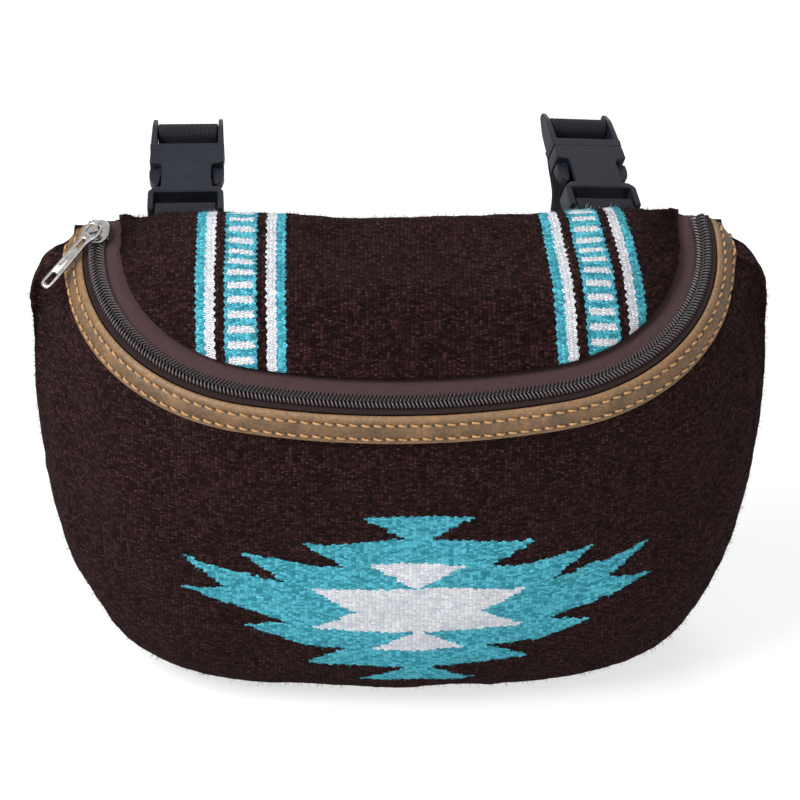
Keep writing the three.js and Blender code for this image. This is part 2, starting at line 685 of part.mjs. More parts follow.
for (const [side, strap] of Object.entries(STRAPS)) {
  const buckle = new THREE.Group();
  buckle.position.set(strap.x, BACK_FACE_Y + BUCKLE_STANDOFF, buckleHeight);
  buckle.rotation.set(strap.pitch, strap.roll, strap.yaw, 'ZXY');
  buckle.updateMatrixWorld(true);
  addMesh(buckle, `${side}_buckle_socket`, socketGeometry(), buckleBlack);
  addMesh(buckle, `${side}_buckle_prong`, prongGeometry(), buckleBlack);
  pouch.add(buckle);
  addMesh(pouch, `${side}_short_strap`, shortStrapGeometry(strap, buckle), webbingBlack);
  addMesh(pouch, `${side}_long_strap`, longStrapGeometry(strap, buckle), webbingBlack);
}

export default pouch;
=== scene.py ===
import math

import bpy
import numpy as np
from mathutils import Matrix


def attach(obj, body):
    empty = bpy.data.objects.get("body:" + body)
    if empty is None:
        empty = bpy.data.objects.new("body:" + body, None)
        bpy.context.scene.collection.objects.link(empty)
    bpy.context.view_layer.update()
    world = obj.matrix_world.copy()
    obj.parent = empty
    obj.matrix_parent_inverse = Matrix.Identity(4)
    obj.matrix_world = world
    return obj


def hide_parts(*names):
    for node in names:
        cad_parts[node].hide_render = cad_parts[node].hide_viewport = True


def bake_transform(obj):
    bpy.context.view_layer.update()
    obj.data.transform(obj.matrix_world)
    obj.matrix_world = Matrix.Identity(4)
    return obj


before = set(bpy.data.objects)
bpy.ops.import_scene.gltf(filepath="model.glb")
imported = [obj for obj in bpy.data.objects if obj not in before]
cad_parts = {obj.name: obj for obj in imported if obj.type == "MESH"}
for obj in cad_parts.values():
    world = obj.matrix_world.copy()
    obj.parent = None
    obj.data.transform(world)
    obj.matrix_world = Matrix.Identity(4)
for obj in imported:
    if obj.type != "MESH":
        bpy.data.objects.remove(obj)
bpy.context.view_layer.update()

MM = 0.001
random = np.random.default_rng(7)

# Sizes of the CAD part, in millimetres and radians
CLEARANCE = 0.3
CLOTH = 2.6
BACK_FACE_Y = 30.0
SEAM_Y = 26.7
ZIP_MID_RADIUS = 300.0
ZIP_END_RADIUS = 76.5
ZIP_MID_HALF_ANGLE = math.radians(11.5)
ZIP_TILT = math.radians(20)
ZIP_ARC_Y = 12.0
ZIP_ARC_HEIGHT = 185.0
LID_EDGE = -9.9
LID_EDGE_RISE = 3.3
FRONT_EDGE = 5.6
HALF_PARTING = 0.8
TAPE_TOP = 0.4
TAPE_UNDER_LID = 5.0
COIL_BOTTOM = 0.7
COIL_TOP = 2.7
TRIM_WIDTH = 10.3
TRIM_SLOPE = math.radians(30)
PANEL_DROP = 1.2
PANEL_LEAD = 10.0
PANEL_SIDE_BULGE = 29.7
PANEL_LOW_BULGE = 15.6
PANEL_SIDE_TUCK = 9.2
PANEL_UNDER_DIP = 7.5
PANEL_UNDER_REACH = 0.7
RIM_HALF_WIDTH = 138.0
RIM_SHOULDER_HEIGHT = 137.7
RIM_SQUARENESS = 5.06
RIM_EAR = 14.0
EAR_BULGE = 6.0
LID_DOME = 20.4
LID_BACK_DIP = 4.3
LID_DOME_SKEW = 0.92
LID_DOME_FULLNESS = 2.7
LID_SIDE_FULLNESS = 6
LID_LAST_ANGLE = math.radians(97)
LID_CORNER = 1.5
QUARTER_SHARE = 0.9
END_CROWDING = 1.4
SLIDER_ANGLE = math.radians(-95)
PIVOT_RISE = 7.6
PULL_SWING_OUT = math.radians(36.5)
PULL_DROOP = math.radians(18)
WEBBING_WIDTH = 25.0
WEBBING_THICKNESS = 1.6
SHORT_STRAP_SEWN = 24.0
LONG_STRAP_SEWN = 24.0
LONG_STRAP_TAIL = 11.0
LID_BACK_HEIGHT = ZIP_ARC_HEIGHT + (SEAM_Y - ZIP_ARC_Y) * math.tan(ZIP_TILT) + LID_EDGE_RISE
LONG_STRAP_FOOT = LID_BACK_HEIGHT - 77.65
BUCKLE_STANDOFF = 14.0
BUCKLE_HEIGHT = LID_BACK_HEIGHT - 10.05
SOCKET_BAR_RADIUS = 2.2
PRONG_BAR_RADIUS = 1.8
PRONG_BAR_Y = 47.9
STRAPS = {
    "left": {"x": -87.0, "foot_x": -87.0, "yaw": 0, "pitch": 20, "roll": 0},
    "right": {"x": 84.0, "foot_x": 72.0, "yaw": 11, "pitch": 21.5, "roll": 10},
}

# Camera of the photograph
CAMERA_TARGET = np.array([0.0, -21.0, 80.0])
CAMERA_ELEVATION = math.radians(32.6)
CAMERA_AZIMUTH = math.radians(1.3)
CAMERA_DISTANCE = 1250.0
CAMERA_LENS = 137.8
FOCAL_PIXELS = 3062.0
TARGET_PIXEL = (402.0, 513.6)
IMAGE_CENTRE = 400.0
UPWARD = np.array([0, 0, 1.0])

# Studio: strengths of the plain light all round and of the floor
WORLD_FILL = 0.42
FLOOR_HALF = 6
FLOOR_MATTE = 0.38
FLOOR_GLOW = 0.68
FLOOR_BOUNCE = 0.85


def mix(a, b, t):
    return a + (b - a) * t


def unit(v):
    return v / np.maximum(np.linalg.norm(v, axis=-1, keepdims=True), 1e-9)


def vec(*parts):
    return np.stack(np.broadcast_arrays(*parts), axis=-1).astype(float)


def run_along(points, axis=0):
    """Length along a line, or along each row of a grid, from its start to each point."""
    steps = np.linalg.norm(np.diff(points, axis=axis), axis=-1)
    start = np.zeros_like(steps.take([0], axis))
    return np.concatenate([start, steps.cumsum(axis)], axis)


# Camera, light and floor
def looking(place, direction):
    """Matrix of a camera or lamp at a place, in metres, that looks along a direction."""
    side = unit(np.cross(direction, UPWARD))
    matrix = np.eye(4)
    matrix[:3, 0] = side
    matrix[:3, 1] = np.cross(side, direction)
    matrix[:3, 2] = -direction
    matrix[:3, 3] = place
    return Matrix(matrix.tolist())


def add_camera():
    right = np.array([math.cos(CAMERA_AZIMUTH), -math.sin(CAMERA_AZIMUTH), 0])
    level = np.array([math.sin(CAMERA_AZIMUTH), math.cos(CAMERA_AZIMUTH), 0])
    ahead = math.cos(CAMERA_ELEVATION) * level - math.sin(CAMERA_ELEVATION) * UPWARD
    up = np.cross(right, ahead)
    place = CAMERA_TARGET - CAMERA_DISTANCE * ahead
    shift = CAMERA_DISTANCE / FOCAL_PIXELS
    aim = CAMERA_TARGET + shift * (TARGET_PIXEL[1] - IMAGE_CENTRE) * up
    aim = aim - shift * (TARGET_PIXEL[0] - IMAGE_CENTRE) * right
    data = bpy.data.cameras.new("camera")
    data.lens = CAMERA_LENS
    data.sensor_width = 36
    data.clip_end = 20
    camera = bpy.data.objects.new("camera", data)
    camera.matrix_world = looking(place * MM, unit(aim - place))
    bpy.context.collection.objects.link(camera)
    bpy.context.scene.camera = camera


def add_softbox(name, place, aim, size, watts):
    data = bpy.data.lights.new(name, "AREA")
    data.shape = "DISK"
    data.size = size
    data.energy = watts
    light = bpy.data.objects.new(name, data)
    light.matrix_world = looking(place, unit(np.array(aim, float) - np.array(place, float)))
    bpy.context.collection.objects.link(light)


def seen_directly(nodes):
    """One for what the camera sees, straight or in a mirror, and nought for bounced light."""
    straight = nodes.node("LightPath", {}, "Is Camera Ray")
    mirrored = nodes.node("LightPath", {}, "Is Glossy Ray")
    return straight | mirrored | nodes.node("LightPath", {}, "Is Transmission Ray")


def add_world():
    world = bpy.data.worlds.new("studio")
    bpy.context.scene.world = world
    world.use_nodes = True
    nodes = Nodes(world.node_tree)
    background = world.node_tree.nodes["Background"]
    background.inputs["Color"].default_value = (1, 1, 1, 1)
    strength = nodes.ramp(seen_directly(nodes), 0.0, 1.0, WORLD_FILL, 1.0)
    nodes.put(background.inputs["Strength"], strength)


def add_lights():
    add_softbox("key", (-0.85, -0.6, 1.15), (0, -0.02, 0.1), 0.8, 24)
    add_softbox("fill", (0.6, -1.2, 0.7), (0, 0, 0.1), 1.0, 5)
    add_softbox("back", (0.2, 1.0, 0.9), (0, 0, 0.1), 0.8, 6)


def floor_material():
    material = bpy.data.materials.new("floor")
    material.use_nodes = True
    nodes = Nodes(material.node_tree)
    matte = nodes.node("BsdfDiffuse", {"Color": (FLOOR_MATTE, FLOOR_MATTE, FLOOR_MATTE, 1)})
    plain = nodes.node("BsdfDiffuse", {"Color": (FLOOR_BOUNCE, FLOOR_BOUNCE, FLOOR_BOUNCE, 1)})
    glow = nodes.node("Emission", {"Strength": FLOOR_GLOW})
    seen = nodes.node("AddShader", {0: matte, 1: glow})
    either = nodes.node("MixShader", {0: seen_directly(nodes), 1: plain, 2: seen})
    nodes.put(material.node_tree.nodes["Material Output"].inputs["Surface"], either)
    return material


def add_floor():
    mesh = bpy.data.meshes.new("floor")
    sides = ((-1, -1), (1, -1), (1, 1), (-1, 1))
    mesh.from_pydata([(FLOOR_HALF * x, FLOOR_HALF * y, 0) for x, y in sides], [], [(0, 1, 2, 3)])
    floor = bpy.data.objects.new("floor", mesh)
    bpy.context.collection.objects.link(floor)
    floor.data.materials.append(floor_material())


# The zip's track
MID_LENGTH = ZIP_MID_RADIUS * ZIP_MID_HALF_ANGLE
QUARTER_LENGTH = MID_LENGTH + ZIP_END_RADIUS * (math.pi / 2 - ZIP_MID_HALF_ANGLE)
END_CENTRE_X = (ZIP_MID_RADIUS - ZIP_END_RADIUS) * math.sin(ZIP_MID_HALF_ANGLE)
TRACK_HALF_WIDTH = END_CENTRE_X + ZIP_END_RADIUS
ZIP_NORMAL = np.array([0, -math.sin(ZIP_TILT), math.cos(ZIP_TILT)])


def outward_at(angle):
    ahead = np.cos(angle)
    return vec(np.sin(angle), -ahead * math.cos(ZIP_TILT), -ahead * math.sin(ZIP_TILT))


def track_angle(share, out, rise):
    reach = np.abs(share)
    behind = SEAM_Y - ZIP_ARC_Y + rise * math.sin(ZIP_TILT)
    beyond = np.arcsin(behind / ((ZIP_END_RADIUS + out) * math.cos(ZIP_TILT)))
    past = math.pi / 2 + beyond * (reach - QUARTER_SHARE) / (1 - QUARTER_SHARE)
    inside = 1 - (1 - np.minimum(reach / QUARTER_SHARE, 1)) ** END_CROWDING
    length = QUARTER_LENGTH * inside
    ended = ZIP_MID_HALF_ANGLE + (length - MID_LENGTH) / ZIP_END_RADIUS
    angle = np.where(length < MID_LENGTH, length / ZIP_MID_RADIUS, ended)
    return np.sign(share) * np.where(reach > QUARTER_SHARE, past, angle)


def track_point(angle, out, rise):
    middle = np.abs(angle) < ZIP_MID_HALF_ANGLE
    radius = np.where(middle, ZIP_MID_RADIUS, ZIP_END_RADIUS)
    step = (ZIP_MID_RADIUS - ZIP_END_RADIUS) * math.cos(ZIP_MID_HALF_ANGLE)
    ahead = np.where(middle, -step, 0) + radius * np.cos(angle)
    x = np.where(middle, 0, np.sign(angle) * END_CENTRE_X) + radius * np.sin(angle)
    y = ZIP_ARC_Y - ahead * math.cos(ZIP_TILT)
    z = ZIP_ARC_HEIGHT - ahead * math.sin(ZIP_TILT)
    out = np.asarray(out, float)[..., None]
    rise = np.asarray(rise, float)[..., None]
    return vec(x, y, z) + out * outward_at(angle) + rise * ZIP_NORMAL


def beside(share, out, rise):
    return track_point(track_angle(share, out, rise), out, rise)


def past_quarter(share):
    return (np.maximum(0, np.abs(share) - QUARTER_SHARE) / (1 - QUARTER_SHARE)) ** 2


def rim_point(share):
    quarter = np.minimum(np.abs(track_angle(share, 0, 0)), math.pi / 2)
    across = np.minimum(1, np.abs(track_point(quarter, 0, 0)[..., 0]) / TRACK_HALF_WIDTH)
    flank = np.maximum(0, 1 - across**RIM_SQUARENESS) ** (1 / RIM_SQUARENESS)
    height = RIM_SHOULDER_HEIGHT * (1 - flank) + RIM_EAR * past_quarter(share)
    return vec(np.sign(share) * RIM_HALF_WIDTH * across, SEAM_Y, height)


# Front panel's outer face: a share across the bag, and b from the leather edge down to the rim
def front_surface(share, b):
    share, b = np.broadcast_arrays(np.asarray(share, float), np.asarray(b, float))
    angle = track_angle(share, FRONT_EDGE, -PANEL_DROP)
    start = track_point(angle, FRONT_EDGE, -PANEL_DROP)
    rim = rim_point(share)
    past = past_quarter(share)
    facing = np.maximum(0, np.cos(angle))
    sideways = 1 - facing**2
    level = vec(np.sin(angle), -np.cos(angle), 0 * angle)
    lead = math.cos(TRIM_SLOPE) * outward_at(angle) - math.sin(TRIM_SLOPE) * ZIP_NORMAL
    side_bulge = sideways * mix(PANEL_SIDE_BULGE, EAR_BULGE, past)
    low_bulge = sideways * mix(PANEL_LOW_BULGE, EAR_BULGE / 2, past)
    dip = PANEL_UNDER_DIP * facing
    x, y, z = start[..., 0], start[..., 1], start[..., 2]
    upper = start + PANEL_LEAD * lead
    middle = vec((x + rim[..., 0]) / 2, y, mix(z, rim[..., 2], 0.58)) + side_bulge[..., None] * level
    lower = vec(mix(x, rim[..., 0], 0.8), mix(y, rim[..., 1], 0.08), mix(rim[..., 2], z, 0.03) - dip)
    lower = lower + low_bulge[..., None] * level
    under = vec(
        rim[..., 0] - PANEL_SIDE_TUCK * np.sin(angle) * (1 - past),
        mix(rim[..., 1], y, PANEL_UNDER_REACH),
        rim[..., 2] - dip,
    )
    controls = [start, upper, middle, lower, under, rim]
    for control in controls:
        control[..., 1] = mix(control[..., 1], SEAM_Y, past)
    while len(controls) > 1:
        controls = [mix(p, q, b[..., None]) for p, q in zip(controls, controls[1:])]
    point = controls[0]
    point[..., 2] = np.maximum(point[..., 2], 0)
    return point


# Lid's outer face: b runs from the back seam over the dome to the zip
def lid_surface(share, b):
    share, b = np.broadcast_arrays(np.asarray(share, float), np.asarray(b, float))
    full = track_angle(share, LID_EDGE, LID_EDGE_RISE)
    last = abs(float(track_angle(np.float64(1), LID_EDGE, LID_EDGE_RISE)))
    beyond = np.maximum(0, np.abs(full) - math.pi / 2) / (last - math.pi / 2)
    quarter = np.minimum(np.abs(full), math.pi / 2)
    angle = np.sign(share) * (quarter + beyond * (LID_LAST_ANGLE - math.pi / 2))
    front = track_point(angle, LID_EDGE, LID_EDGE_RISE)
    back_x = np.abs(track_point(quarter, LID_EDGE, 0)[..., 0]) + LID_CORNER * beyond
    across = np.minimum(1, back_x / (TRACK_HALF_WIDTH + LID_EDGE))
    back = vec(np.sign(share) * back_x, SEAM_Y, LID_BACK_HEIGHT - LID_BACK_DIP * (1 - across**4))
    point = mix(back, front, b[..., None])
    dome = LID_DOME * (1 - across**LID_SIDE_FULLNESS)
    point[..., 2] += dome * (1 - np.abs(1 - 2 * b**LID_DOME_SKEW) ** LID_DOME_FULLNESS)
    return point


# Mesh tools
def make_object(name, points, faces, uv=None):
    mesh = bpy.data.meshes.new(name)
    mesh.from_pydata((np.asarray(points) * MM).tolist(), [], faces)
    if uv is not None:
        corner = np.empty(len(mesh.loops), dtype=np.int32)
        mesh.loops.foreach_get("vertex_index", corner)
        layer = mesh.uv_layers.new(name="weave")
        layer.data.foreach_set("uv", np.asarray(uv, dtype=np.float32)[corner].ravel())
    mesh.polygons.foreach_set("use_smooth", [True] * len(mesh.polygons))
    obj = bpy.data.objects.new(name, mesh)
    bpy.context.collection.objects.link(obj)
    return obj


class Pile:
    """Collects vertices and faces of many small solids for one mesh."""

    def __init__(self):
        self.points = []
        self.faces = []
        self.uv = []
        self.count = 0

    def add(self, points, faces, uv=None):
        points = np.asarray(points, float)
        self.points.append(points)
        self.uv.append(np.zeros((len(points), 2)) if uv is None else np.asarray(uv, float))
        self.faces.extend([tuple(i + self.count for i in face) for face in faces])
        self.count += len(points)

    def made(self, name):
        points = np.concatenate(self.points)
        return make_object(name, points, self.faces, np.concatenate(self.uv))


def grid_faces(n, m, first=0, flip=False, wrap=False):
    faces = []
    columns = m if wrap else m - 1
    for i in range(n - 1):
        for j in range(columns):
            k = (j + 1) % m
            here = first + i * m
            face = (here + j, here + m + j, here + m + k, here + k)
            faces.append(face[::-1] if flip else face)
    return faces


def grid_normals(points):
    return unit(np.cross(np.gradient(points, axis=0), np.gradient(points, axis=1)))


def border(n, m, first):
    """Index rows of a grid's four sides, in order round its edge."""
    index = first + np.arange(n * m).reshape(n, m)
    return [index[:, 0], index[-1, :], index[::-1, -1], index[0, ::-1]]


def zip_sides(outer, inner):
    """Triangles between two index rows of different counts."""
    faces = []
    i = j = 0
    while i < len(outer) - 1 or j < len(inner) - 1:
        ahead_outer = (i + 1) / (len(outer) - 1)
        ahead_inner = (j + 1) / (len(inner) - 1)
        if ahead_outer <= ahead_inner:
            faces.append((int(outer[i + 1]), int(outer[i]), int(inner[j])))
            i += 1
        else:
            faces.append((int(outer[i]), int(inner[j]), int(inner[j + 1])))
            j += 1
    return faces


def closed_sheet(name, outer, inner, uv):
    """A thick sheet with a fine outer face and a coarse inner one."""
    n, m = outer.shape[:2]
    p, q = inner.shape[:2]
    faces = grid_faces(n, m) + grid_faces(p, q, n * m, flip=True)
    for fine, coarse in zip(border(n, m, 0), border(p, q, n * m)):
        faces += zip_sides(fine, coarse)
    points = np.concatenate([outer.reshape(-1, 3), inner.reshape(-1, 3)])
    inner_uv = uv[::COARSE, ::COARSE]
    both_uv = np.concatenate([uv.reshape(-1, 2), inner_uv.reshape(-1, 2)])
    return make_object(name, points, faces, both_uv)


def even_shares(line, count, ends=(-1.0, 1.0), samples=3001):
    """Shares at which line(share) has evenly spaced points, and the line's length."""
    fine = np.linspace(ends[0], ends[1], samples)
    length = run_along(line(fine))
    return np.interp(np.linspace(0, length[-1], count), length, fine), length[-1]


def finer(knots, cells, shape, ease):
    """A coarse grid of values brought to a finer one."""
    a = np.linspace(0, cells[0], shape[0])
    b = np.linspace(0, cells[1], shape[1])
    i = np.minimum(a.astype(int), knots.shape[0] - 2)
    j = np.minimum(b.astype(int), knots.shape[1] - 2)
    deep = (1,) * (knots.ndim - 2)
    fa = ease(a - i).reshape(-1, 1, *deep)
    fb = ease(b - j).reshape(1, -1, *deep)
    low = mix(knots[i][:, j], knots[i][:, j + 1], fb)
    high = mix(knots[i + 1][:, j], knots[i + 1][:, j + 1], fb)
    return mix(low, high, fa)


def cosine_ease(t):
    return (1 - np.cos(t * math.pi)) / 2


def rough(shape, *layers):
    """Smooth seeded noise, each layer as cells along, cells across and strength."""
    total = np.zeros(shape)
    for along, across, strength in layers:
        knots = random.normal(size=(along + 2, across + 2))
        total += strength * finer(knots, (along, across), shape, cosine_ease)
    return total


def resized(field, shape):
    """A coarse grid of offsets, evenly on a finer one."""
    cells = (field.shape[0] - 1, field.shape[1] - 1)
    return finer(field, cells, shape, lambda t: t)


def smoothed(field, rounds):
    """Evens out a grid but leaves its edge."""
    for _ in range(rounds):
        inner = field[1:-1, 1:-1]
        around = field[:-2, 1:-1] + field[2:, 1:-1] + field[1:-1, :-2] + field[1:-1, 2:]
        field = field.copy()
        field[1:-1, 1:-1] = mix(inner, around / 4, 0.5)
    return field


CLOTH_FRAMES = 22
CLOTH_SETTINGS = {
    "quality": 6,
    "mass": 0.002,
    "tension_stiffness": 20,
    "compression_stiffness": 20,
    "bending_stiffness": 0.6,
}


def settled(points, slack, limit):
    """How far a panel sewn along its edges sags as cloth: a grid of offsets, at most limit long."""
    offset = np.zeros_like(points)
    n, m = points.shape[:2]
    obj = make_object("settling", points.reshape(-1, 3), grid_faces(n, m))
    pinned = obj.vertex_groups.new(name="sewn")
    index = np.arange(n * m).reshape(n, m)
    edge = np.concatenate([index[0], index[-1], index[:, 0], index[:, -1]])
    pinned.add([int(i) for i in edge], 1.0, "REPLACE")
    cloth = obj.modifiers.new("cloth", "CLOTH")
    for name, value in CLOTH_SETTINGS.items():
        setattr(cloth.settings, name, value)
    cloth.settings.shrink_min = -slack
    cloth.settings.vertex_group_mass = "sewn"
    cloth.collision_settings.use_collision = False
    scene = bpy.context.scene
    cloth.point_cache.frame_start = 1
    cloth.point_cache.frame_end = CLOTH_FRAMES
    for number in range(1, CLOTH_FRAMES + 1):
        scene.frame_set(number)
    shaped = obj.evaluated_get(bpy.context.evaluated_depsgraph_get()).data
    flat = np.empty(n * m * 3)
    shaped.vertices.foreach_get("co", flat)
    offset = flat.reshape(n, m, 3) / MM - points
    scene.frame_set(1)
    bpy.data.objects.remove(obj, do_unlink=True)
    length = np.linalg.norm(offset, axis=-1, keepdims=True)
    offset = offset * np.minimum(1, limit / np.maximum(length, 1e-6))
    return smoothed(offset, 6)


# Solids swept along a line of points, with a closed section of (side, lift) pairs
THREAD_TAPER = 0.45


def tube(rings, flip=False):
    """Points and faces of a closed tube through rings of points."""
    n, m = rings.shape[:2]
    caps = [tuple(range(m)), tuple(range(n * m - 1, n * m - m - 1, -1))]
    faces = grid_faces(n, m, wrap=True, flip=flip)
    faces += [cap[::-1] if flip else cap for cap in caps]
    return rings.reshape(-1, 3), faces


def grid_uv(along, across):
    return np.stack(np.broadcast_arrays(along, across), axis=-1).reshape(-1, 2)


def swept(path, sides, ups, section):
    section = np.asarray(section, float)[None]
    around = sides[:, None] * section[..., :1] + ups[:, None] * section[..., 1:]
    return tube(path[:, None] + around)


def round_section(radius, count=6):
    turn = np.linspace(0, 2 * math.pi, count, endpoint=False)
    return np.stack([radius * np.cos(turn), radius * np.sin(turn)], axis=-1)


def thread(path, up, radius, taper=True):
    """A bent thread through a few points, with narrow ends."""
    path = np.asarray(path, float)
    tangent = unit(np.gradient(path, axis=0))
    side = unit(np.cross(tangent, up))
    over = np.cross(side, tangent)
    ring = round_section(radius)
    width = np.ones(len(path))
    if taper:
        width[[0, -1]] = THREAD_TAPER
    around = side[:, None] * ring[None, :, :1] + over[:, None] * ring[None, :, 1:]
    return tube(path[:, None] + width[:, None, None] * around)


# Shader tools
class Value:
    """A node's output, which takes part in plain sums."""

    def __init__(self, nodes, socket):
        self.nodes = nodes
        self.socket = socket

    def __add__(self, other):
        return self.nodes.math("ADD", self, other)

    def __sub__(self, other):
        return self.nodes.math("SUBTRACT", self, other)

    def __rsub__(self, other):
        return self.nodes.math("SUBTRACT", other, self)

    def __mul__(self, other):
        return self.nodes.math("MULTIPLY", self, other)

    def __truediv__(self, number):
        return self.nodes.math("MULTIPLY", self, 1 / number)

    def __pow__(self, power):
        return self.nodes.math("POWER", self, power)

    def __abs__(self):
        return self.nodes.math("ABSOLUTE", self)

    def __gt__(self, other):
        return self.nodes.math("GREATER_THAN", self, other)

    def __lt__(self, other):
        return self.nodes.math("GREATER_THAN", other, self)

    def __or__(self, other):
        return self.nodes.math("MAXIMUM", self, other)

    def floor(self):
        return self.nodes.math("FLOOR", self)

    def fract(self):
        return self.nodes.math("FRACT", self)

    def within(self, low, high):
        return (self > low) * (self < high)


class Nodes:
    """Adds nodes to a tree in short words."""

    def __init__(self, tree):
        self.tree = tree

    def put(self, socket, value):
        if isinstance(value, Value):
            self.tree.links.new(value.socket, socket)
        else:
            socket.default_value = value

    def node(self, kind, inputs, output=0, **settings):
        """A new node's output, with its inputs linked or set by name or place."""
        node = self.tree.nodes.new("ShaderNode" + kind)
        for name, value in settings.items():
            setattr(node, name, value)
        for place, value in inputs.items():
            self.put(node.inputs[place], value)
        return Value(self, node.outputs[output])

    def math(self, operation, *values):
        return self.node("Math", dict(enumerate(values)), operation=operation)

    def ramp(self, value, low, high, to_low=0.0, to_high=1.0):
        inputs = {"Value": value, "From Min": low, "From Max": high}
        return self.node("MapRange", {**inputs, "To Min": to_low, "To Max": to_high})


class Shader(Nodes):
    """A material's nodes, with its own weave, noise and colours."""

    def __init__(self, name):
        self.material = bpy.data.materials.new(name)
        self.material.use_nodes = True
        super().__init__(self.material.node_tree)
        self.surface = self.tree.nodes["Principled BSDF"]

    def weave(self):
        place = {"Vector": self.node("UVMap", {}, uv_map="weave")}
        return self.node("SeparateXYZ", place, "X"), self.node("SeparateXYZ", place, "Y")

    def noise(self, scale, detail=2.0, roughness=0.5):
        place = self.node("TexCoord", {}, "Object")
        inputs = {"Vector": place, "Scale": scale, "Detail": detail, "Roughness": roughness}
        return self.node("TexNoise", inputs)

    def scatter(self, a, b):
        """A random number for each whole pair of a and b."""
        pair = self.node("CombineXYZ", {"X": a, "Y": b})
        return self.node("TexWhiteNoise", {"Vector": pair}, "Value", noise_dimensions="2D")

    def blend(self, share, a, b):
        return self.node("Mix", {0: share, 6: a, 7: b}, 2, data_type="RGBA")

    def bump(self, height, distance, strength=1.0):
        inputs = {"Height": height, "Distance": distance, "Strength": strength}
        self.put(self.surface.inputs["Normal"], self.node("Bump", inputs))

    def set(self, **values):
        for name, value in values.items():
            self.put(self.surface.inputs[name.replace("_", " ")], value)


def srgb(*levels):
    shares = [level / 255 for level in levels]
    return (*[c / 12.92 if c <= 0.04 else ((c + 0.055) / 1.055) ** 2.4 for c in shares], 1)


BLACK = srgb(0, 0, 0)
WHITE = srgb(255, 255, 255)

# Wool: short floats of flecked yarn in upright ribs, each rib half a row from the next
YARN_RIB = 1.6
YARN_ROW = 0.95
YARN_DRIFT = 2.2
DARK_WOOL = srgb(58, 33, 33)
DEEP_WOOL = srgb(22, 10, 10)
# Pale flecks of the yarn, also used as a painted highlight on the yarns' rounded tops
FLECK_AND_HIGHLIGHT_WOOL = srgb(98, 68, 66)
TURQUOISE = srgb(104, 212, 232)
DEEP_TURQUOISE = srgb(50, 146, 166)
WHITE_WOOL = srgb(253, 254, 255)
GREY_WOOL = srgb(222, 225, 237)


class Yarn:
    """The weave's cells: their middles, roundness and a random number for each."""

    def __init__(self, s):
        self.u, self.v = s.weave()
        drift_u = (s.noise(420) - 0.5) * YARN_DRIFT
        drift_v = (s.noise(370) - 0.5) * YARN_DRIFT
        rib = (self.u + drift_u) / YARN_RIB
        column = rib.floor()
        stagger = s.math("FLOORED_MODULO", column, 2.0) * 0.5
        along = (self.v + drift_v) / YARN_ROW + stagger
        row = along.floor()
        self.chance = s.scatter(column, row)
        self.row_chance = s.scatter(row, 7.5)
        self.middle_u = (column + 0.5) * YARN_RIB
        self.middle_v = (row + 0.5 - stagger) * YARN_ROW
        across = rib.fract() - 0.5
        up = along.fract() - 0.5
        self.height = (1.0 - across * across * 2.6) * (1.0 - up * up * 3.4)


def wool_material(name, pattern=None):
    s = Shader(name)
    yarn = Yarn(s)
    fibre = s.noise(2600, 3.0, 0.7)
    patch = s.noise(42)
    tone = s.ramp(yarn.chance * 0.8 + fibre * 0.5, 0.3, 1.0)
    # shade: painted shade in the gaps between yarns, where their roundness is low, times broad random
    # patches of darker tone
    shade = s.ramp(yarn.height, 0.15, 0.85, 0.4, 1.06) * s.ramp(patch, 0.3, 0.7, 0.86, 1.0)
    # glint: painted highlight on the rounded tops of the yarns, mixed with random pale flecks
    glint = s.ramp(yarn.chance * fibre * yarn.height, 0.3, 0.55)
    colour = s.blend(glint * 0.7, s.blend(tone, DEEP_WOOL, DARK_WOOL), FLECK_AND_HIGHLIGHT_WOOL)
    if pattern:
        turquoise, white = pattern(s, yarn)
        colour = s.blend(turquoise, colour, s.blend(tone, DEEP_TURQUOISE, TURQUOISE))
        colour = s.blend(white, colour, s.blend(tone, GREY_WOOL, WHITE_WOOL))
        shade = s.blend((turquoise | white) * 0.6, shade, WHITE)
    s.set(Base_Color=s.blend(shade, BLACK, colour), Roughness=0.95, Specular_IOR_Level=0.02)
    s.set(Sheen_Weight=0.025, Sheen_Roughness=0.6, Sheen_Tint=(1, 0.8, 0.78, 1))
    s.bump(yarn.height + fibre * 0.7, 0.0007)
    return s.material


# Stepped diamond on the front: rows that widen outward from a notch, a white one inside a turquoise one
MOTIF_U = 5.5
MOTIF_HEIGHT = 61.0
MOTIF_ROW = 12.4
MOTIF_HALF_WIDTH = 95.0
MOTIF_STEP = 24.1
MOTIF_NOTCH = 18.0
MOTIF_CURVE = 16.5
MOTIF_LEVEL = 38.0
MOTIF_BEND = 55.0
MOTIF_RAGGED = 1.6
MOTIF_LOWER_SQUEEZE = 0.11
MOTIF_SIDE_SQUEEZE = 0.3
MOTIF_ROWS = 4
HEART_HALF_WIDTH = 43.5
HEART_ROWS = 2


def motif(s, yarn):
    across = abs(yarn.middle_u - MOTIF_U) + (yarn.row_chance - 0.5) * MOTIF_RAGGED
    beyond = s.math("MAXIMUM", across - MOTIF_LEVEL, 0.0) / MOTIF_BEND
    height = yarn.middle_v - beyond**1.3 * MOTIF_CURVE
    squeeze = (across / MOTIF_HALF_WIDTH) ** 2.0 * MOTIF_SIDE_SQUEEZE + 1.0
    squeeze = squeeze + (height < 0.0) * MOTIF_LOWER_SQUEEZE
    up = abs(height) * squeeze / MOTIF_ROW
    edge = up.floor() * MOTIF_STEP + (1.0 - up.fract()) * MOTIF_NOTCH
    outer = (MOTIF_HALF_WIDTH - edge > across) * (up < MOTIF_ROWS)
    heart = (HEART_HALF_WIDTH - edge > across) * (up < HEART_ROWS)
    return outer, heart


# Striped bands on the lid, in distances from a band's middle
BAND_BARS = 6.2
BAND_DARK = 9.95
BAND_WHITE = 13.75
BAND_EDGE = 17.4
BAND_WAVE = 0.28
BAND_RAGGED = 0.5
BAR_HALF = 4.9
BAR_PITCH = 6.0
BAR_TOOTH = 1.9


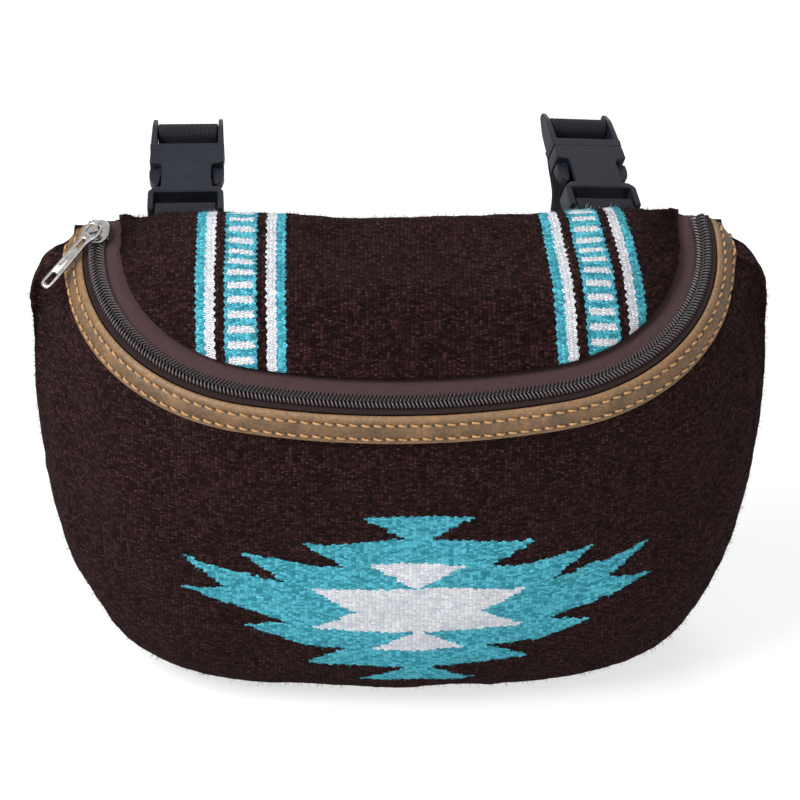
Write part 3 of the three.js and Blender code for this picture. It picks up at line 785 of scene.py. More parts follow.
def bands(s, yarn):
    wave = s.math("SINE", yarn.v * (4 * math.pi / BAR_PITCH)) * BAND_WAVE
    ragged = (yarn.row_chance - 0.5) * BAND_RAGGED
    away = abs(yarn.u) + (wave + ragged)
    tooth = s.math("PINGPONG", yarn.u, BAR_TOOTH / 2)
    phase = ((yarn.v + tooth * 0.7) / BAR_PITCH).fract()
    bar = phase.within(0.1, 0.56) * (away < BAR_HALF)
    column = away < BAND_BARS
    line = away.within(BAND_DARK, BAND_WHITE)
    rim = away.within(BAND_WHITE, BAND_EDGE)
    return column | rim, bar | line


def leather_material():
    s = Shader("tan_leather")
    along, across = s.weave()
    grain = s.noise(900, 4.0, 0.6)
    mottle = s.noise(110, 4.0, 0.65)
    stain = s.noise(420, 3.0, 0.7)
    worn = s.ramp(across, 2.6, 0.0) | s.ramp(across, 8.9, TRIM_WIDTH)
    colour = s.blend(s.ramp(mottle, 0.35, 0.65), srgb(78, 59, 34), srgb(124, 91, 58))
    colour = s.blend(s.ramp(stain, 0.5, 0.7, 0.0, 0.55), colour, srgb(64, 48, 28))
    colour = s.blend(worn * 0.6, colour, srgb(154, 118, 80))
    colour = s.blend(s.ramp(grain, 0.3, 0.58, 0.6, 0.0), colour, srgb(60, 42, 24))
    # Painted shade in the needle holes between the stitches of each sewn row
    gap = abs(((along - STITCH_MARGIN) / STITCH_PITCH).fract() - HOLE_PHASE)
    for row in STITCH_ROWS:
        hole_shade = s.ramp(gap, 0.17, 0.08) * s.ramp(abs(across - row), 0.75, 0.4)
        colour = s.blend(hole_shade * 0.9, colour, srgb(30, 19, 11))
    s.set(Base_Color=colour, Roughness=s.ramp(grain, 0.3, 0.7, 0.62, 0.46))
    s.bump(grain + mottle * 0.5, 0.00035, 0.7)
    return s.material


def thread_material(name, pale, deep):
    s = Shader(name)
    strand = s.noise(1800)
    s.set(Base_Color=s.blend(s.ramp(strand, 0.3, 0.7), deep, pale), Roughness=0.7)
    s.bump(strand, 0.0002, 0.8)
    return s.material


TAPE_CHEVRON = 1.1
TAPE_RIB = 0.62


def tape_material(name, pale, deep):
    s = Shader(name)
    u, v = s.weave()
    chevron = s.math("PINGPONG", v, TAPE_CHEVRON)
    rib = s.math("SINE", (u + chevron) * (2 * math.pi / TAPE_RIB))
    fibre = s.noise(2200)
    colour = s.blend(s.ramp(rib * 0.25 + fibre, 0.2, 0.85), deep, pale)
    s.set(Base_Color=colour, Roughness=0.85, Specular_IOR_Level=0.15)
    s.bump(rib + fibre, 0.00012, 0.8)
    return s.material


WEBBING_RIB = 1.1


def webbing_material():
    s = Shader("black_webbing")
    u, v = s.weave()
    rib = s.math("PINGPONG", u, WEBBING_RIB / 2)
    stagger = (u / WEBBING_RIB).floor() * (WEBBING_RIB / 2)
    pick = s.math("SINE", (v + stagger) * (2 * math.pi / WEBBING_RIB))
    relief = rib + pick * 0.22 + s.noise(2400) * 0.3
    colour = s.blend(s.ramp(relief, 0.0, 0.9), srgb(12, 11, 14), srgb(50, 49, 55))
    s.set(Base_Color=colour, Roughness=0.8, Specular_IOR_Level=0.12)
    s.bump(relief, 0.0003, 0.9)
    return s.material


def plastic_material():
    s = Shader("buckle_plastic")
    scuff = s.noise(120, 4.0, 0.7)
    colour = s.blend(s.ramp(scuff, 0.4, 0.7), srgb(23, 25, 33), srgb(31, 33, 42))
    s.set(Base_Color=colour, Roughness=s.ramp(scuff, 0.3, 0.7, 0.4, 0.56), Specular_IOR_Level=0.14)
    s.bump(s.noise(1600, 3.0), 0.00012, 0.5)
    return s.material


def coil_material():
    s = Shader("zip_coil")
    grain = s.noise(700)
    # Painted shade and painted highlight: the teeth are near black where the two coils meet in the
    # zip's middle and pale toward their outer bends, over random grain
    _, reach = s.weave()
    pale = s.blend(grain, srgb(52, 42, 44), srgb(86, 74, 77))
    colour = s.blend(s.ramp(reach, 0.5, 1.9), srgb(14, 9, 9), pale)
    s.set(Base_Color=colour, Roughness=s.ramp(grain, 0.3, 0.7, 0.28, 0.42))
    return s.material


def nickel_material():
    s = Shader("bright_nickel")
    brushed = s.noise(500, 3.0, 0.7)
    colour = s.blend(s.ramp(brushed, 0.35, 0.7), srgb(150, 149, 147), srgb(176, 175, 172))
    s.set(Base_Color=colour, Roughness=s.ramp(brushed, 0.3, 0.7, 0.1, 0.2), Metallic=1.0)
    s.bump(brushed, 0.00003, 0.4)
    return s.material


def finish_piece(obj, material, body, slot, *nodes):
    obj.data.materials.append(material)
    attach(obj, body)
    if nodes:
        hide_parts(*nodes)


# Woven panels
FRONT_STEPS = (381, 229)
LID_STEPS = (301, 125)
BACK_STEPS = (241, 161)
COARSE = 4
UNDER_START_Y = -45.0
UNDER_TOP = 0.5
SEAM_FADE = 0.03

# Swellings of the front below the leather's ends: height, spread, and how far left and right
EAR_SWELLS = ((177, 14, 6.5, 4.6), (138, 26, 1.6, 2.8))
EAR_START_X = 92.0
EAR_FULL_X = 126.0
EAR_SWELL_START = 6.0
EAR_SWELL_REACH = 9.0

# Gathers under the leather edge's corners, in shares of the front's width and length
GATHER_DEPTH = 1.1
GATHER_ARC = 0.55
GATHER_ARC_SPREAD = 0.28
GATHER_DOWN = 0.22
GATHER_DOWN_SPREAD = 0.16

# Extra cloth as a share of the panel, and the furthest it may sag
FRONT_SLACK = 0.006
FRONT_SAG = 4.0
LID_SLACK = 0.004
LID_SAG = 2.5


def coarse_of(points, normals):
    return (points - CLOTH * normals)[::COARSE, ::COARSE]


def middle_line(b):
    return front_surface(1e-6 + 0 * b, b)


def profile_length():
    """Heights along the front panel's middle line, and the cloth's length down to each."""
    line = middle_line(np.linspace(0, 1, 800))
    length = run_along(line)
    touching = line[:, 2] <= 0
    lowest = int(np.argmax(touching)) if touching.any() else len(line) - 1
    return line[: lowest + 1, 2], length[: lowest + 1]


def front_weave(points):
    """Cloth lengths across and up from the motif's middle, for each point of the front."""
    _, y, z = np.moveaxis(points, -1, 0)
    heights, lengths = profile_length()
    at_motif = np.interp(-MOTIF_HEIGHT, -heights, lengths)
    v = at_motif - np.interp(-z, -heights, lengths) + np.maximum(0, z - heights[0])
    v = v - np.maximum(0, y - UNDER_START_Y) * (z < UNDER_TOP)
    run = run_along(points[..., :2])
    u = run[len(run) // 2] - run
    return np.stack([u, v], axis=-1)


def bell(value, middle, spread):
    return np.exp(-(((value - middle) / spread) ** 2))


def smooth_step(value):
    value = np.clip(value, 0, 1)
    return value * value * (3 - 2 * value)


def fuller_ears(points):
    """Lets the cloth swell outward below the leather's two ends, as it does in the photograph."""
    x, _, z = np.moveaxis(points, -1, 0)
    swell = np.zeros_like(x)
    for height, spread, left, right in EAR_SWELLS:
        swell += np.where(x < 0, left, right) * bell(z, height, spread)
    swell = swell * smooth_step((np.abs(x) - EAR_START_X) / (EAR_FULL_X - EAR_START_X))
    swell = swell * smooth_step((run_along(points, 1) - EAR_SWELL_START) / EAR_SWELL_REACH)
    points = points.copy()
    points[..., 0] += np.sign(x) * swell
    return points


def front_relief():
    """Gathers under the leather edge's corners and soft lumps, fading out at the seams."""
    arc = np.abs(np.linspace(-1, 1, FRONT_STEPS[0]))[:, None]
    down = np.linspace(0, 1, FRONT_STEPS[1])[None, :]
    corner = bell(arc, GATHER_ARC, GATHER_ARC_SPREAD) * bell(down, GATHER_DOWN, GATHER_DOWN_SPREAD)
    folds = GATHER_DEPTH * np.sin(40 * arc + 9 * down + 2 * np.sin(7 * arc)) * corner
    soft = rough(FRONT_STEPS, (10, 6, 0.7), (26, 16, 0.45), (90, 54, 0.14), (190, 114, 0.09))
    return (folds + soft) * np.minimum(1, np.minimum(down, 1 - down) / SEAM_FADE)


def front_panel(wool):
    shares, _ = even_shares(lambda s: front_surface(s, 0.45 + 0 * s), FRONT_STEPS[0], (1.0, -1.0))
    b, _ = even_shares(middle_line, FRONT_STEPS[1], (0.0, 1.0), 2001)
    plain = fuller_ears(front_surface(shares[:, None], b[None, :]))
    sag = settled(plain[::COARSE, ::COARSE], FRONT_SLACK, FRONT_SAG)
    points = plain + resized(sag, FRONT_STEPS)
    normals = grid_normals(plain)
    points = points + front_relief()[..., None] * normals
    points[..., 2] = np.maximum(points[..., 2], 0)
    points[..., 1] = np.minimum(points[..., 1], SEAM_Y)
    uv = front_weave(plain)
    obj = closed_sheet("front_cloth", points, coarse_of(points, normals), uv)
    finish_piece(obj, wool, "pouch", "wool", "front_panel")
    return obj, points, normals, uv


# Each band's middle at the back and at the front, and its width there against the plain one
LEFT_BAND = (-62.6, -62.6, 1.0, 1.0)
RIGHT_BAND = (69.6, 80.5, 0.93, 1.14)
LID_FRONT_Y = -60.0
WEFT_TILT = math.radians(32.6)
WEFT_LEVELLING = 0.85
LID_END_FADE = 0.12
LID_SEAM_FADE = 0.05


def lid_lengths(plain):
    """Cloth length from the back seam, evened so that the bands' bars run level."""
    middle = plain[LID_STEPS[0] // 2]
    ahead = -plain[..., 1]
    fall = np.interp(ahead, -middle[:, 1], middle[:, 2]) - plain[..., 2]
    rise = np.interp(ahead, -middle[:, 1], np.gradient(middle[:, 2], middle[:, 1]))
    lean = math.sin(WEFT_TILT) + math.cos(WEFT_TILT) * np.maximum(rise, 0)
    level = ahead + WEFT_LEVELLING * math.cos(WEFT_TILT) * fall / lean
    return np.interp(level, -middle[:, 1], run_along(middle))


def lid_weave(points):
    x = points[..., 0]
    t = np.clip((SEAM_Y - points[..., 1]) / (SEAM_Y - LID_FRONT_Y), 0, 1)
    left = x < 0
    pairs = [np.where(left, a, b) for a, b in zip(LEFT_BAND, RIGHT_BAND)]
    u = (x - mix(pairs[0], pairs[1], t)) / mix(pairs[2], pairs[3], t)
    return np.stack([np.where(left, u, -u), lid_lengths(points)], axis=-1)


def lid_panel(wool):
    shares, _ = even_shares(lambda s: lid_surface(s, 0.9 + 0 * s), LID_STEPS[0], (1.0, -1.0))
    b = np.linspace(0, 1, LID_STEPS[1])
    plain = lid_surface(shares[:, None], b[None, :])
    normals = grid_normals(plain)
    sag = settled(plain[::COARSE, ::COARSE], LID_SLACK, LID_SAG)
    points = plain + resized(sag, LID_STEPS)
    soft = rough(LID_STEPS, (16, 6, 0.5), (70, 30, 0.16), (150, 62, 0.08))
    ends = np.minimum(1, (1 - np.abs(np.linspace(-1, 1, LID_STEPS[0])))[:, None] / LID_END_FADE)
    fade = np.minimum(1, (1 - b[None, :]) / LID_SEAM_FADE) * ends
    points = points + (soft * fade)[..., None] * normals
    points[..., 1] = np.minimum(points[..., 1], SEAM_Y + CLEARANCE)
    uv = lid_weave(plain)
    inner = coarse_of(points, unit(mix(UPWARD, normals, ends[..., None])))
    obj = closed_sheet("lid_cloth", points, inner, uv)
    finish_piece(obj, wool, "pouch", "wool", "lid_panel")
    return obj, points, normals, uv


# The back: how its upper edge dips beside the lid, and how its rim is rounded
BACK_DIP = 3.0
BACK_DIP_X = 85.0
BACK_DIP_REACH = 20.0
BACK_RIM = 0.5
BACK_RIM_RADIUS = 5.0
BACK_HEIGHT = 190.0


def back_top(s, corner):
    """Upper edge of the back: the lid's seam, then a dip on either side up to the corner."""
    lid = lid_surface(np.linspace(-1, 1, 201), np.zeros(201))
    x = s * corner[0]
    seam_x = np.r_[-corner[0], lid[:, 0], corner[0]]
    seam_z = np.r_[corner[2], lid[:, 2], corner[2]]
    away = np.abs(x)
    dip = BACK_DIP * smooth_step((away - BACK_DIP_X) / BACK_DIP_REACH)
    dip = dip * smooth_step((corner[0] - away) / 6)
    return np.stack([x, np.interp(x, seam_x, seam_z) - dip], axis=-1)


def back_patch(s, t):
    """A grid of x and z between the back's four edges."""
    rim_shares, _ = even_shares(lambda q: front_surface(q, 1 + 0 * q), len(s))
    bottom = front_surface(rim_shares, 1 + 0 * rim_shares)[:, [0, 2]]
    top = back_top(s, front_surface(np.float64(1), np.float64(0)))
    sides = fuller_ears(front_surface(np.array([[-1.0], [1.0]]), t[None, :]))
    left, right = sides[:, ::-1][..., [0, 2]]
    a = ((s + 1) / 2)[:, None, None]
    c = t[None, :, None]
    patch = mix(bottom[:, None], top[:, None], c) + mix(left[None], right[None], a)
    return patch - mix(mix(bottom[0], bottom[-1], a), mix(top[0], top[-1], a), c)


def back_panel(wool):
    s = np.linspace(-1, 1, BACK_STEPS[0])
    t = np.linspace(0, 1, BACK_STEPS[1])
    patch = back_patch(s, t)
    from_side = (1 - np.abs(s))[:, None] * front_surface(np.float64(1), np.float64(0))[0]
    from_edge = np.minimum(from_side, np.minimum(t, 1 - t)[None, :] * BACK_HEIGHT)
    rounding = np.sqrt(1 - (1 - np.minimum(from_edge / BACK_RIM_RADIUS, 1)) ** 2)
    soft = np.abs(rough(BACK_STEPS, (16, 12, 0.3), (80, 54, 0.12)))
    y = mix(SEAM_Y + BACK_RIM, BACK_FACE_Y - soft, rounding)
    points = vec(patch[..., 0], y, patch[..., 1])[::-1]
    normals = np.zeros_like(points)
    normals[..., 1] = 1
    uv = points[..., [0, 2]]
    inner = points[::COARSE, ::COARSE].copy()
    inner[..., 1] = SEAM_Y + BACK_RIM - 0.1
    obj = closed_sheet("back_cloth", points, inner, uv)
    finish_piece(obj, wool, "pouch", "wool", "back_panel")
    return obj, points, normals, uv


def declare_cloth(panel, held):
    """Works out the flat width and length of a panel's outer face; nothing further is done with them.
    """
    obj, points, _, _ = panel
    flat = held == "laid"
    width = (np.ptp(points[..., 0]) if flat else run_along(points, 0).max()) * MM
    length = (np.ptp(points[..., 2]) if flat else run_along(points, 1).max()) * MM


# Stray wool hairs standing off a panel, as thin bent spikes of seven points each
HAIR_RADIUS = 0.07
HAIR_SUNK = 0.3
HAIR_WALLS = ((0, 1, 4, 3), (1, 2, 5, 4), (2, 0, 3, 5))
HAIR_ENDS = ((3, 4, 6), (4, 5, 6), (5, 3, 6), (2, 1, 0))


def hair_points(root, normal, longest):
    """Two rings of three points and a tip for each hair."""
    count = len(root)
    lean = random.normal(0, 0.75, (count, 3))
    heading = unit(normal * random.uniform(0.25, 1.0, (count, 1)) + lean * 0.75)
    facing = (heading * normal).sum(axis=1, keepdims=True)
    heading = unit(heading + normal * np.maximum(0, 0.15 - facing))
    length = longest * random.uniform(0.35, 1.0, (count, 1)) ** 1.6
    curl = unit(np.cross(heading, random.normal(0, 1, (count, 3))))
    side = unit(np.cross(heading, curl))
    root = root - HAIR_SUNK * normal
    middle = root + heading * length * 0.55 + curl * length * 0.12
    tip = root + heading * length * 0.95 + curl * length * 0.4
    ring = [HAIR_RADIUS * (x * curl + y * side) for x, y in round_section(1, 3)]
    return np.stack([root + r for r in ring] + [middle + 0.75 * r for r in ring] + [tip], axis=1)


def hairs(name, material, panel, count, longest):
    _, points, normals, uv = panel
    n, m = points.shape[:2]
    i = random.integers(n // 24, n - n // 24, count)
    j = random.integers(4, m - 4, count)
    root = points[i, j] + random.normal(0, 0.25, (count, 3))
    verts = hair_points(root, normals[i, j], longest)
    above_floor = verts[..., 2].min(axis=1) > 0
    verts = verts[above_floor]
    each = verts.shape[1]
    starts = range(0, each * len(verts), each)
    faces = [tuple(k + p for p in face) for k in starts for face in HAIR_WALLS + HAIR_ENDS]
    root_uv = np.repeat(uv[i, j][above_floor], each, axis=0)
    obj = make_object(name, verts.reshape(-1, 3), faces, root_uv)
    finish_piece(obj, material, "pouch", "wool")


# Leather edge with two sewn rows
# Section of the strip: a rolled edge, a groove for each row, a crown between, and the outer edge
ROLLED_EDGE = [(0.1, 0.1), (-0.3, 0.5), (-0.35, 1.0), (-0.1, 1.5), (0.5, 1.85), (1.4, 1.95)]
UPPER_GROOVE = [(2.2, 1.85), (2.7, 1.6), (3.0, 1.5), (3.3, 1.6), (3.9, 1.85)]
CROWN = [(4.8, 1.98), (5.7, 2.0), (6.6, 1.95)]
LOWER_GROOVE = [(7.4, 1.8), (8.0, 1.56), (8.3, 1.48), (8.6, 1.54), (9.2, 1.7)]
OUTER_EDGE = [(9.8, 1.62), (10.25, 1.3), (10.35, 0.8), (10.2, 0.1)]
TRIM_PROFILE = ROLLED_EDGE + UPPER_GROOVE + CROWN + LOWER_GROOVE + OUTER_EDGE
TRIM_STEPS = 420
STITCH_ROWS = (3.0, 8.3)
STITCH_PITCH = 4.7
STITCH_LENGTH = 3.6
STITCH_MARGIN = 3.0
STITCH_SLANT = 0.3
STITCH_JITTER = 0.06
STITCH_RADIUS = 0.5
STITCH_ARCH = np.array([1.1, 1.7, 1.92, 1.92, 1.7, 1.1])
HOLE_PHASE = (STITCH_PITCH + STITCH_LENGTH) / 2 / STITCH_PITCH


def trim_point(shares, width, lift):
    """A place on the leather edge: across it from its upper side, and above the front panel."""
    b = np.linspace(0, 0.45, 90)
    rows = front_surface(shares[:, None], b[None, :])
    normals = grid_normals(rows) * (1 if shares[0] > shares[-1] else -1)
    length = run_along(rows, 1)
    width = np.broadcast_to(width, (len(shares),))
    lift = np.broadcast_to(lift, (len(shares),))
    out = np.empty((len(shares), 3))
    for k in range(len(shares)):
        at = max(width[k], 0.0)
        point = np.array([np.interp(at, length[k], rows[k, :, c]) for c in range(3)])
        normal = unit(np.array([np.interp(at, length[k], normals[k, :, c]) for c in range(3)]))
        ahead = unit(rows[k, 1] - rows[k, 0])
        out[k] = point + min(width[k], 0.0) * ahead + lift[k] * normal
    return out


def leather_edge(leather):
    """Makes the strip, and returns the shares along it and the length up to each."""
    line = lambda s: front_surface(s, 0.08 + 0 * s)
    shares, length = even_shares(line, TRIM_STEPS, (1.0, -1.0))
    columns = [trim_point(shares, width, lift) for width, lift in TRIM_PROFILE]
    rings = np.stack(columns, axis=1)
    rings[..., 1] = np.minimum(rings[..., 1], SEAM_Y + 0.2)
    for _ in range(12):
        rings[1:-1] = (rings[:-2] + 2 * rings[1:-1] + rings[2:]) / 4
    wobble = rough(rings.shape[:2], (70, 4, 0.07))
    rings = rings + wobble[..., None] * np.array([0, -0.5, 0.8])
    along = np.linspace(0, length, TRIM_STEPS)
    across = np.array(TRIM_PROFILE)[:, 0]
    trim = make_object("leather_edge", *tube(rings, flip=True), grid_uv(along[:, None], across))
    finish_piece(trim, leather, "pouch", "leather", "leather_trim")
    return shares, along


def leather_stitches(shares, along, sewing):
    pile = Pile()
    bend = np.linspace(0, 1, len(STITCH_ARCH))
    last = along[-1] - STITCH_MARGIN - STITCH_LENGTH
    for row in STITCH_ROWS:
        for start in np.arange(STITCH_MARGIN, last, STITCH_PITCH):
            part = np.interp(start + STITCH_LENGTH * bend, along, shares)
            across = row + mix(STITCH_SLANT, -STITCH_SLANT, bend) + random.normal(0, STITCH_JITTER)
            path = trim_point(part, across, STITCH_ARCH)
            path[:, 1] = np.minimum(path[:, 1], SEAM_Y)
            surface = trim_point(part, row, STITCH_ARCH)
            above = unit(trim_point(part, row, STITCH_ARCH + 1) - surface)
            pile.add(*thread(path, above, STITCH_RADIUS))
    finish_piece(pile.made("leather_stitches"), sewing, "pouch", "leather")


# Zip: woven tapes, and coils made of single bent teeth
COIL_PITCH = 1.55
COIL_WIRE = 0.4
TAPE_STEPS = (420, 9)


def tape(name, out_from, out_to, material, node):
    shares = np.linspace(1, -1, TAPE_STEPS[0])
    outs = np.linspace(out_from, out_to, TAPE_STEPS[1])
    top = np.stack([beside(shares, o + 0 * shares, TAPE_TOP) for o in outs], axis=1)
    low = np.stack([beside(shares, o + 0 * shares, -TAPE_TOP) for o in outs], axis=1)
    rings = np.concatenate([top, low[:, ::-1]], axis=1)
    rings[..., 1] = np.minimum(rings[..., 1], SEAM_Y)
    across = np.r_[outs, outs[::-1]]
    obj = make_object(name, *tube(rings), grid_uv(run_along(top[:, 0])[:, None], across))
    finish_piece(obj, material, "pouch", "zip_tape", node)


def coil_tooth(side):
    """How far out, how high and how far on each point of one tooth lies."""
    low = COIL_BOTTOM + COIL_WIRE - 0.25
    high = COIL_TOP - COIL_WIRE
    outs = side * np.array([2.95, 3.0, 2.4, 1.2, 0.2, -0.35, -0.3])
    middle = (low + high) / 2
    rises = [low, middle, high - 0.08, high, high - 0.05, 1.1 * middle, low + 0.3]
    slide = 2.6 * np.array([0, 0.15, 0.5, 1.0, 1.45, 1.6, 1.6])
    return outs, np.array(rises), slide


def coil(name, side, material, node):
    track = lambda q: beside(q, 0 * q, 0)
    count = int(even_shares(track, 10)[1] / COIL_PITCH)
    shares, _ = even_shares(track, 4 * count + 1, (0.992, -0.992))
    outs, rises, slide = coil_tooth(side)
    offset = 0 if side > 0 else 2
    # Each point's distance from the zip's middle, for the painted shade and painted highlight of the
    # coil's material
    reach = np.repeat(np.abs(outs), 6)
    shade = np.stack([0 * reach, reach], axis=1)
    pile = Pile()
    places = np.arange(len(shares))
    for k in range(count - 2):
        at = np.interp(4 * k + slide + offset, places, shares)
        path = np.stack([beside(*point) for point in zip(at, outs, rises)])
        pile.add(*thread(path, ZIP_NORMAL + 0.01, COIL_WIRE, taper=False), shade)
    finish_piece(pile.made(name), material, "pouch", "zip_coil", node)


# Flat outlines with softened edges, made through a filled curve so that holes stay open
def corners(points, steps=5):
    """Outline with each corner (x, y, radius) rounded."""
    out = []
    count = len(points)
    for k in range(count):
        x, y, radius = points[k]
        here = np.array([x, y])
        if radius <= 0:
            out.append(here)
            continue
        before = np.array(points[k - 1][:2]) - here
        after = np.array(points[(k + 1) % count][:2]) - here
        reach = min(radius, 0.49 * np.linalg.norm(before), 0.49 * np.linalg.norm(after))
        first = here + reach * unit(before)
        last = here + reach * unit(after)
        for q in np.linspace(0, 1, steps):
            out.append((1 - q) ** 2 * first + 2 * q * (1 - q) * here + q * q * last)
    return np.array(out)


def welded(points, faces):
    """The same mesh with points at one place joined."""
    _, first, place = np.unique(np.round(points, 4), axis=0, return_index=True, return_inverse=True)
    place = place.ravel().tolist()
    loops = [tuple(dict.fromkeys(place[i] for i in face)) for face in faces]
    return points[first], [loop for loop in loops if len(loop) > 2]


def plate(outlines, bottom, top, edge):
    """Points and faces of a bevelled plate between two heights."""
    curve = bpy.data.curves.new("outline", "CURVE")
    curve.dimensions = "2D"
    curve.fill_mode = "BOTH"
    curve.extrude = (top - bottom) / 2 - edge
    curve.bevel_depth = edge
    curve.bevel_resolution = 2
    curve.offset = -edge
    for outline in outlines:
        spline = curve.splines.new("POLY")
        spline.points.add(len(outline) - 1)
        flat = np.zeros((len(outline), 4))
        flat[:, :2] = outline
        flat[:, 3] = 1
        spline.points.foreach_set("co", flat.ravel())
        spline.use_cyclic_u = True
    obj = bpy.data.objects.new("outline", curve)
    bpy.context.collection.objects.link(obj)
    mesh = bpy.data.meshes.new_from_object(obj.evaluated_get(bpy.context.evaluated_depsgraph_get()))
    points = np.empty(len(mesh.vertices) * 3)
    mesh.vertices.foreach_get("co", points)
    points = points.reshape(-1, 3)
    points[:, 2] += (top + bottom) / 2
    faces = [tuple(p.vertices) for p in mesh.polygons]
    bpy.data.objects.remove(obj, do_unlink=True)
    bpy.data.meshes.remove(mesh)
    bpy.data.curves.remove(curve)
    return welded(points, faces)


def crossbar(half, y, radius):
    """A round bar along x with slightly rounded ends."""
    places = half * np.array([-1, -0.96, 0, 0.96, 1])
    widths = np.array([0.85, 1, 1, 1, 0.85])
    rings = widths[:, None, None] * round_section(radius, BAR_SIDES)
    return tube(vec(places[:, None], y + rings[..., 0], rings[..., 1]))


def across_x(half, steps=5):
    """Outline from its right half, with the same on the left."""
    return corners(half + [(-x, y, r) for x, y, r in reversed(half)], steps)


def across_y(half, steps=5):
    """Outline from its upper half, with the same below."""
    return corners(half + [(x, -y, r) for x, y, r in reversed(half)], steps)


# Frames of the slider, the pull and the buckles
def slider_frame():
    inward = -outward_at(np.float64(SLIDER_ANGLE))
    along = np.cross(inward, ZIP_NORMAL)
    return np.stack([along, inward, ZIP_NORMAL], axis=1), track_point(np.float64(SLIDER_ANGLE), 0, 0)


def pull_frame():
    turn, origin = slider_frame()
    swing = Matrix.Rotation(-PULL_SWING_OUT, 3, "Z") @ Matrix.Rotation(PULL_DROOP, 3, "Y")
    return turn @ np.array(swing), origin + PIVOT_RISE * ZIP_NORMAL


def buckle_frame(strap):
    turn = Matrix.Rotation(math.radians(strap["yaw"]), 3, "Z")
    turn = turn @ Matrix.Rotation(math.radians(strap["pitch"]), 3, "X")
    turn = turn @ Matrix.Rotation(math.radians(strap["roll"]), 3, "Y")
    return np.array(turn), np.array([strap["x"], BACK_FACE_Y + BUCKLE_STANDOFF, BUCKLE_HEIGHT])


def placed(points, frame_pair):
    turn, origin = frame_pair
    return np.asarray(points) @ turn.T + origin


def assembled(name, parts, frame_pair, smooth_angle=35):
    pile = Pile()
    for points, faces in parts:
        pile.add(placed(points, frame_pair), faces)
    obj = pile.made(name)
    obj.data.update()
    bpy.context.view_layer.objects.active = obj
    obj.select_set(True)
    bpy.ops.object.mode_set(mode="EDIT")
    bpy.ops.mesh.select_all(action="SELECT")
    bpy.ops.mesh.normals_make_consistent(inside=False)
    bpy.ops.object.mode_set(mode="OBJECT")
    bpy.ops.object.shade_smooth_by_angle(angle=math.radians(smooth_angle))
    obj.select_set(False)
    return obj


def slider_bail():
    """The loop over the slider's back that holds the pull."""
    turn = np.linspace(0, math.pi, 17)
    path = np.stack([-2.45 * np.cos(turn), 0 * turn, 4.2 + 5.0 * np.sin(turn) ** 0.75], axis=1)
    sides = np.tile([0, 1.0, 0], (len(path), 1))
    ups = np.cross(unit(np.gradient(path, axis=0)), sides)
    half = [(-0.85, -0.3), (-0.6, -0.55), (0.6, -0.55), (0.85, -0.3)]
    return swept(path, sides, ups, half + [(-x, -y) for x, y in half])


def zip_slider(nickel):
    shape = across_y([(-6.3, 2.5, 1.2), (-3.6, 4.6, 1.5), (2.6, 4.8, 2.0), (6.1, 2.2, 1.6)])
    post = across_y([(-5.2, 0.4, 0.2), (-2.6, 0.4, 0.2)])
    parts = [
        plate([shape], 3.1, 4.5, 0.4),
        plate([shape], -2.2, -0.8, 0.3),
        plate([post], -1.0, 3.3, 0.08),
        slider_bail(),
    ]
    wall = [(-3, 3.9, 0), (3, 3.9, 0), (3, 4.6, 0.2), (-3, 4.6, 0.2)]
    for hand in (-1, 1):
        outline = corners([(x, hand * y, r) for x, y, r in wall])
        parts.append(plate([outline], 0.85, 3.3, 0.1))
    obj = assembled("nickel_slider", parts, slider_frame())
    finish_piece(obj, nickel, "slider", "nickel", "zip_slider")


def zip_pull(nickel):
    eye = [(-0.7, 2.6, 1.8), (1.2, 3.7, 1.6), (5.2, 3.5, 2.0)]
    tab = [(8.2, 2.0, 3.0), (13, 2.25, 8), (29, 2.5, 6), (33, 2.2, 2.2)]
    shape = across_y(eye + tab, 7)
    head = across_y([(0.6, 2.3, 1.2), (4.8, 2.3, 1.4)])
    neck = across_y([(7.6, 0.75, 0.6), (12.4, 0.75, 0.6)])
    slot = across_y([(25.6, 1.2, 0.9), (31.3, 1.2, 1.1)])
    ridge = across_y([(13.6, 0.9, 0.6), (24.4, 1.0, 0.6)])
    parts = [plate([shape, head, slot, neck], -0.65, 0.65, 0.5), plate([ridge], -0.85, 0.85, 0.25)]
    obj = assembled("nickel_pull", parts, pull_frame())
    finish_piece(obj, nickel, "pull", "nickel", "zip_pull")


# Side-release buckles, measured along from the socket's bar
SOCKET_HALF = 15.5
SOCKET_TOP = 4.75
FLAT_ANGLE = 12
SOCKET_BAR_HALF = 13.4
PRONG_BAR_HALF = 13.6
BAR_SIDES = 36


def buckle_socket(side, strap, plastic):
    face = across_x([(10.2, 10.1, 0), (10.2, 25.3, 1.3), (15.3, 26.2, 0.8), (15.1, 33.0, 1.0)])
    inner = [(13.1, 9.6, 0.5), (13.1, 0, 0.3)]
    outer = [(SOCKET_HALF, 0, 0.9), (SOCKET_HALF, 10.4, 1.2), (12.6, 12.8, 1.2)]
    web = across_x([(10, 11, 0), (10, 13.2, 0)])
    parts = [
        plate([face], 2.6, SOCKET_TOP + 0.06, 0.35),
        plate([face], -SOCKET_TOP, -2.6, 0.55),
        plate([across_x(inner + outer)], -SOCKET_TOP, SOCKET_TOP, 0.6),
        plate([web], -3.2, 3.2, 0.1),
        crossbar(SOCKET_BAR_HALF, SOCKET_BAR_RADIUS, SOCKET_BAR_RADIUS),
    ]
    wall = [(12.7, 25.9, 0.2), (15.2, 26.4, 0.3), (15.0, 32.9, 0.4), (12.7, 32.9, 0.2)]
    for hand in (-1, 1):
        outline = corners([(hand * x, y, r) for x, y, r in wall])
        parts.append(plate([outline], -3.4, 3.4, 0.12))
    obj = assembled(f"{side}_socket_shell", parts, buckle_frame(strap), FLAT_ANGLE)
    finish_piece(obj, plastic, "pouch", "buckle", f"{side}_buckle_socket")


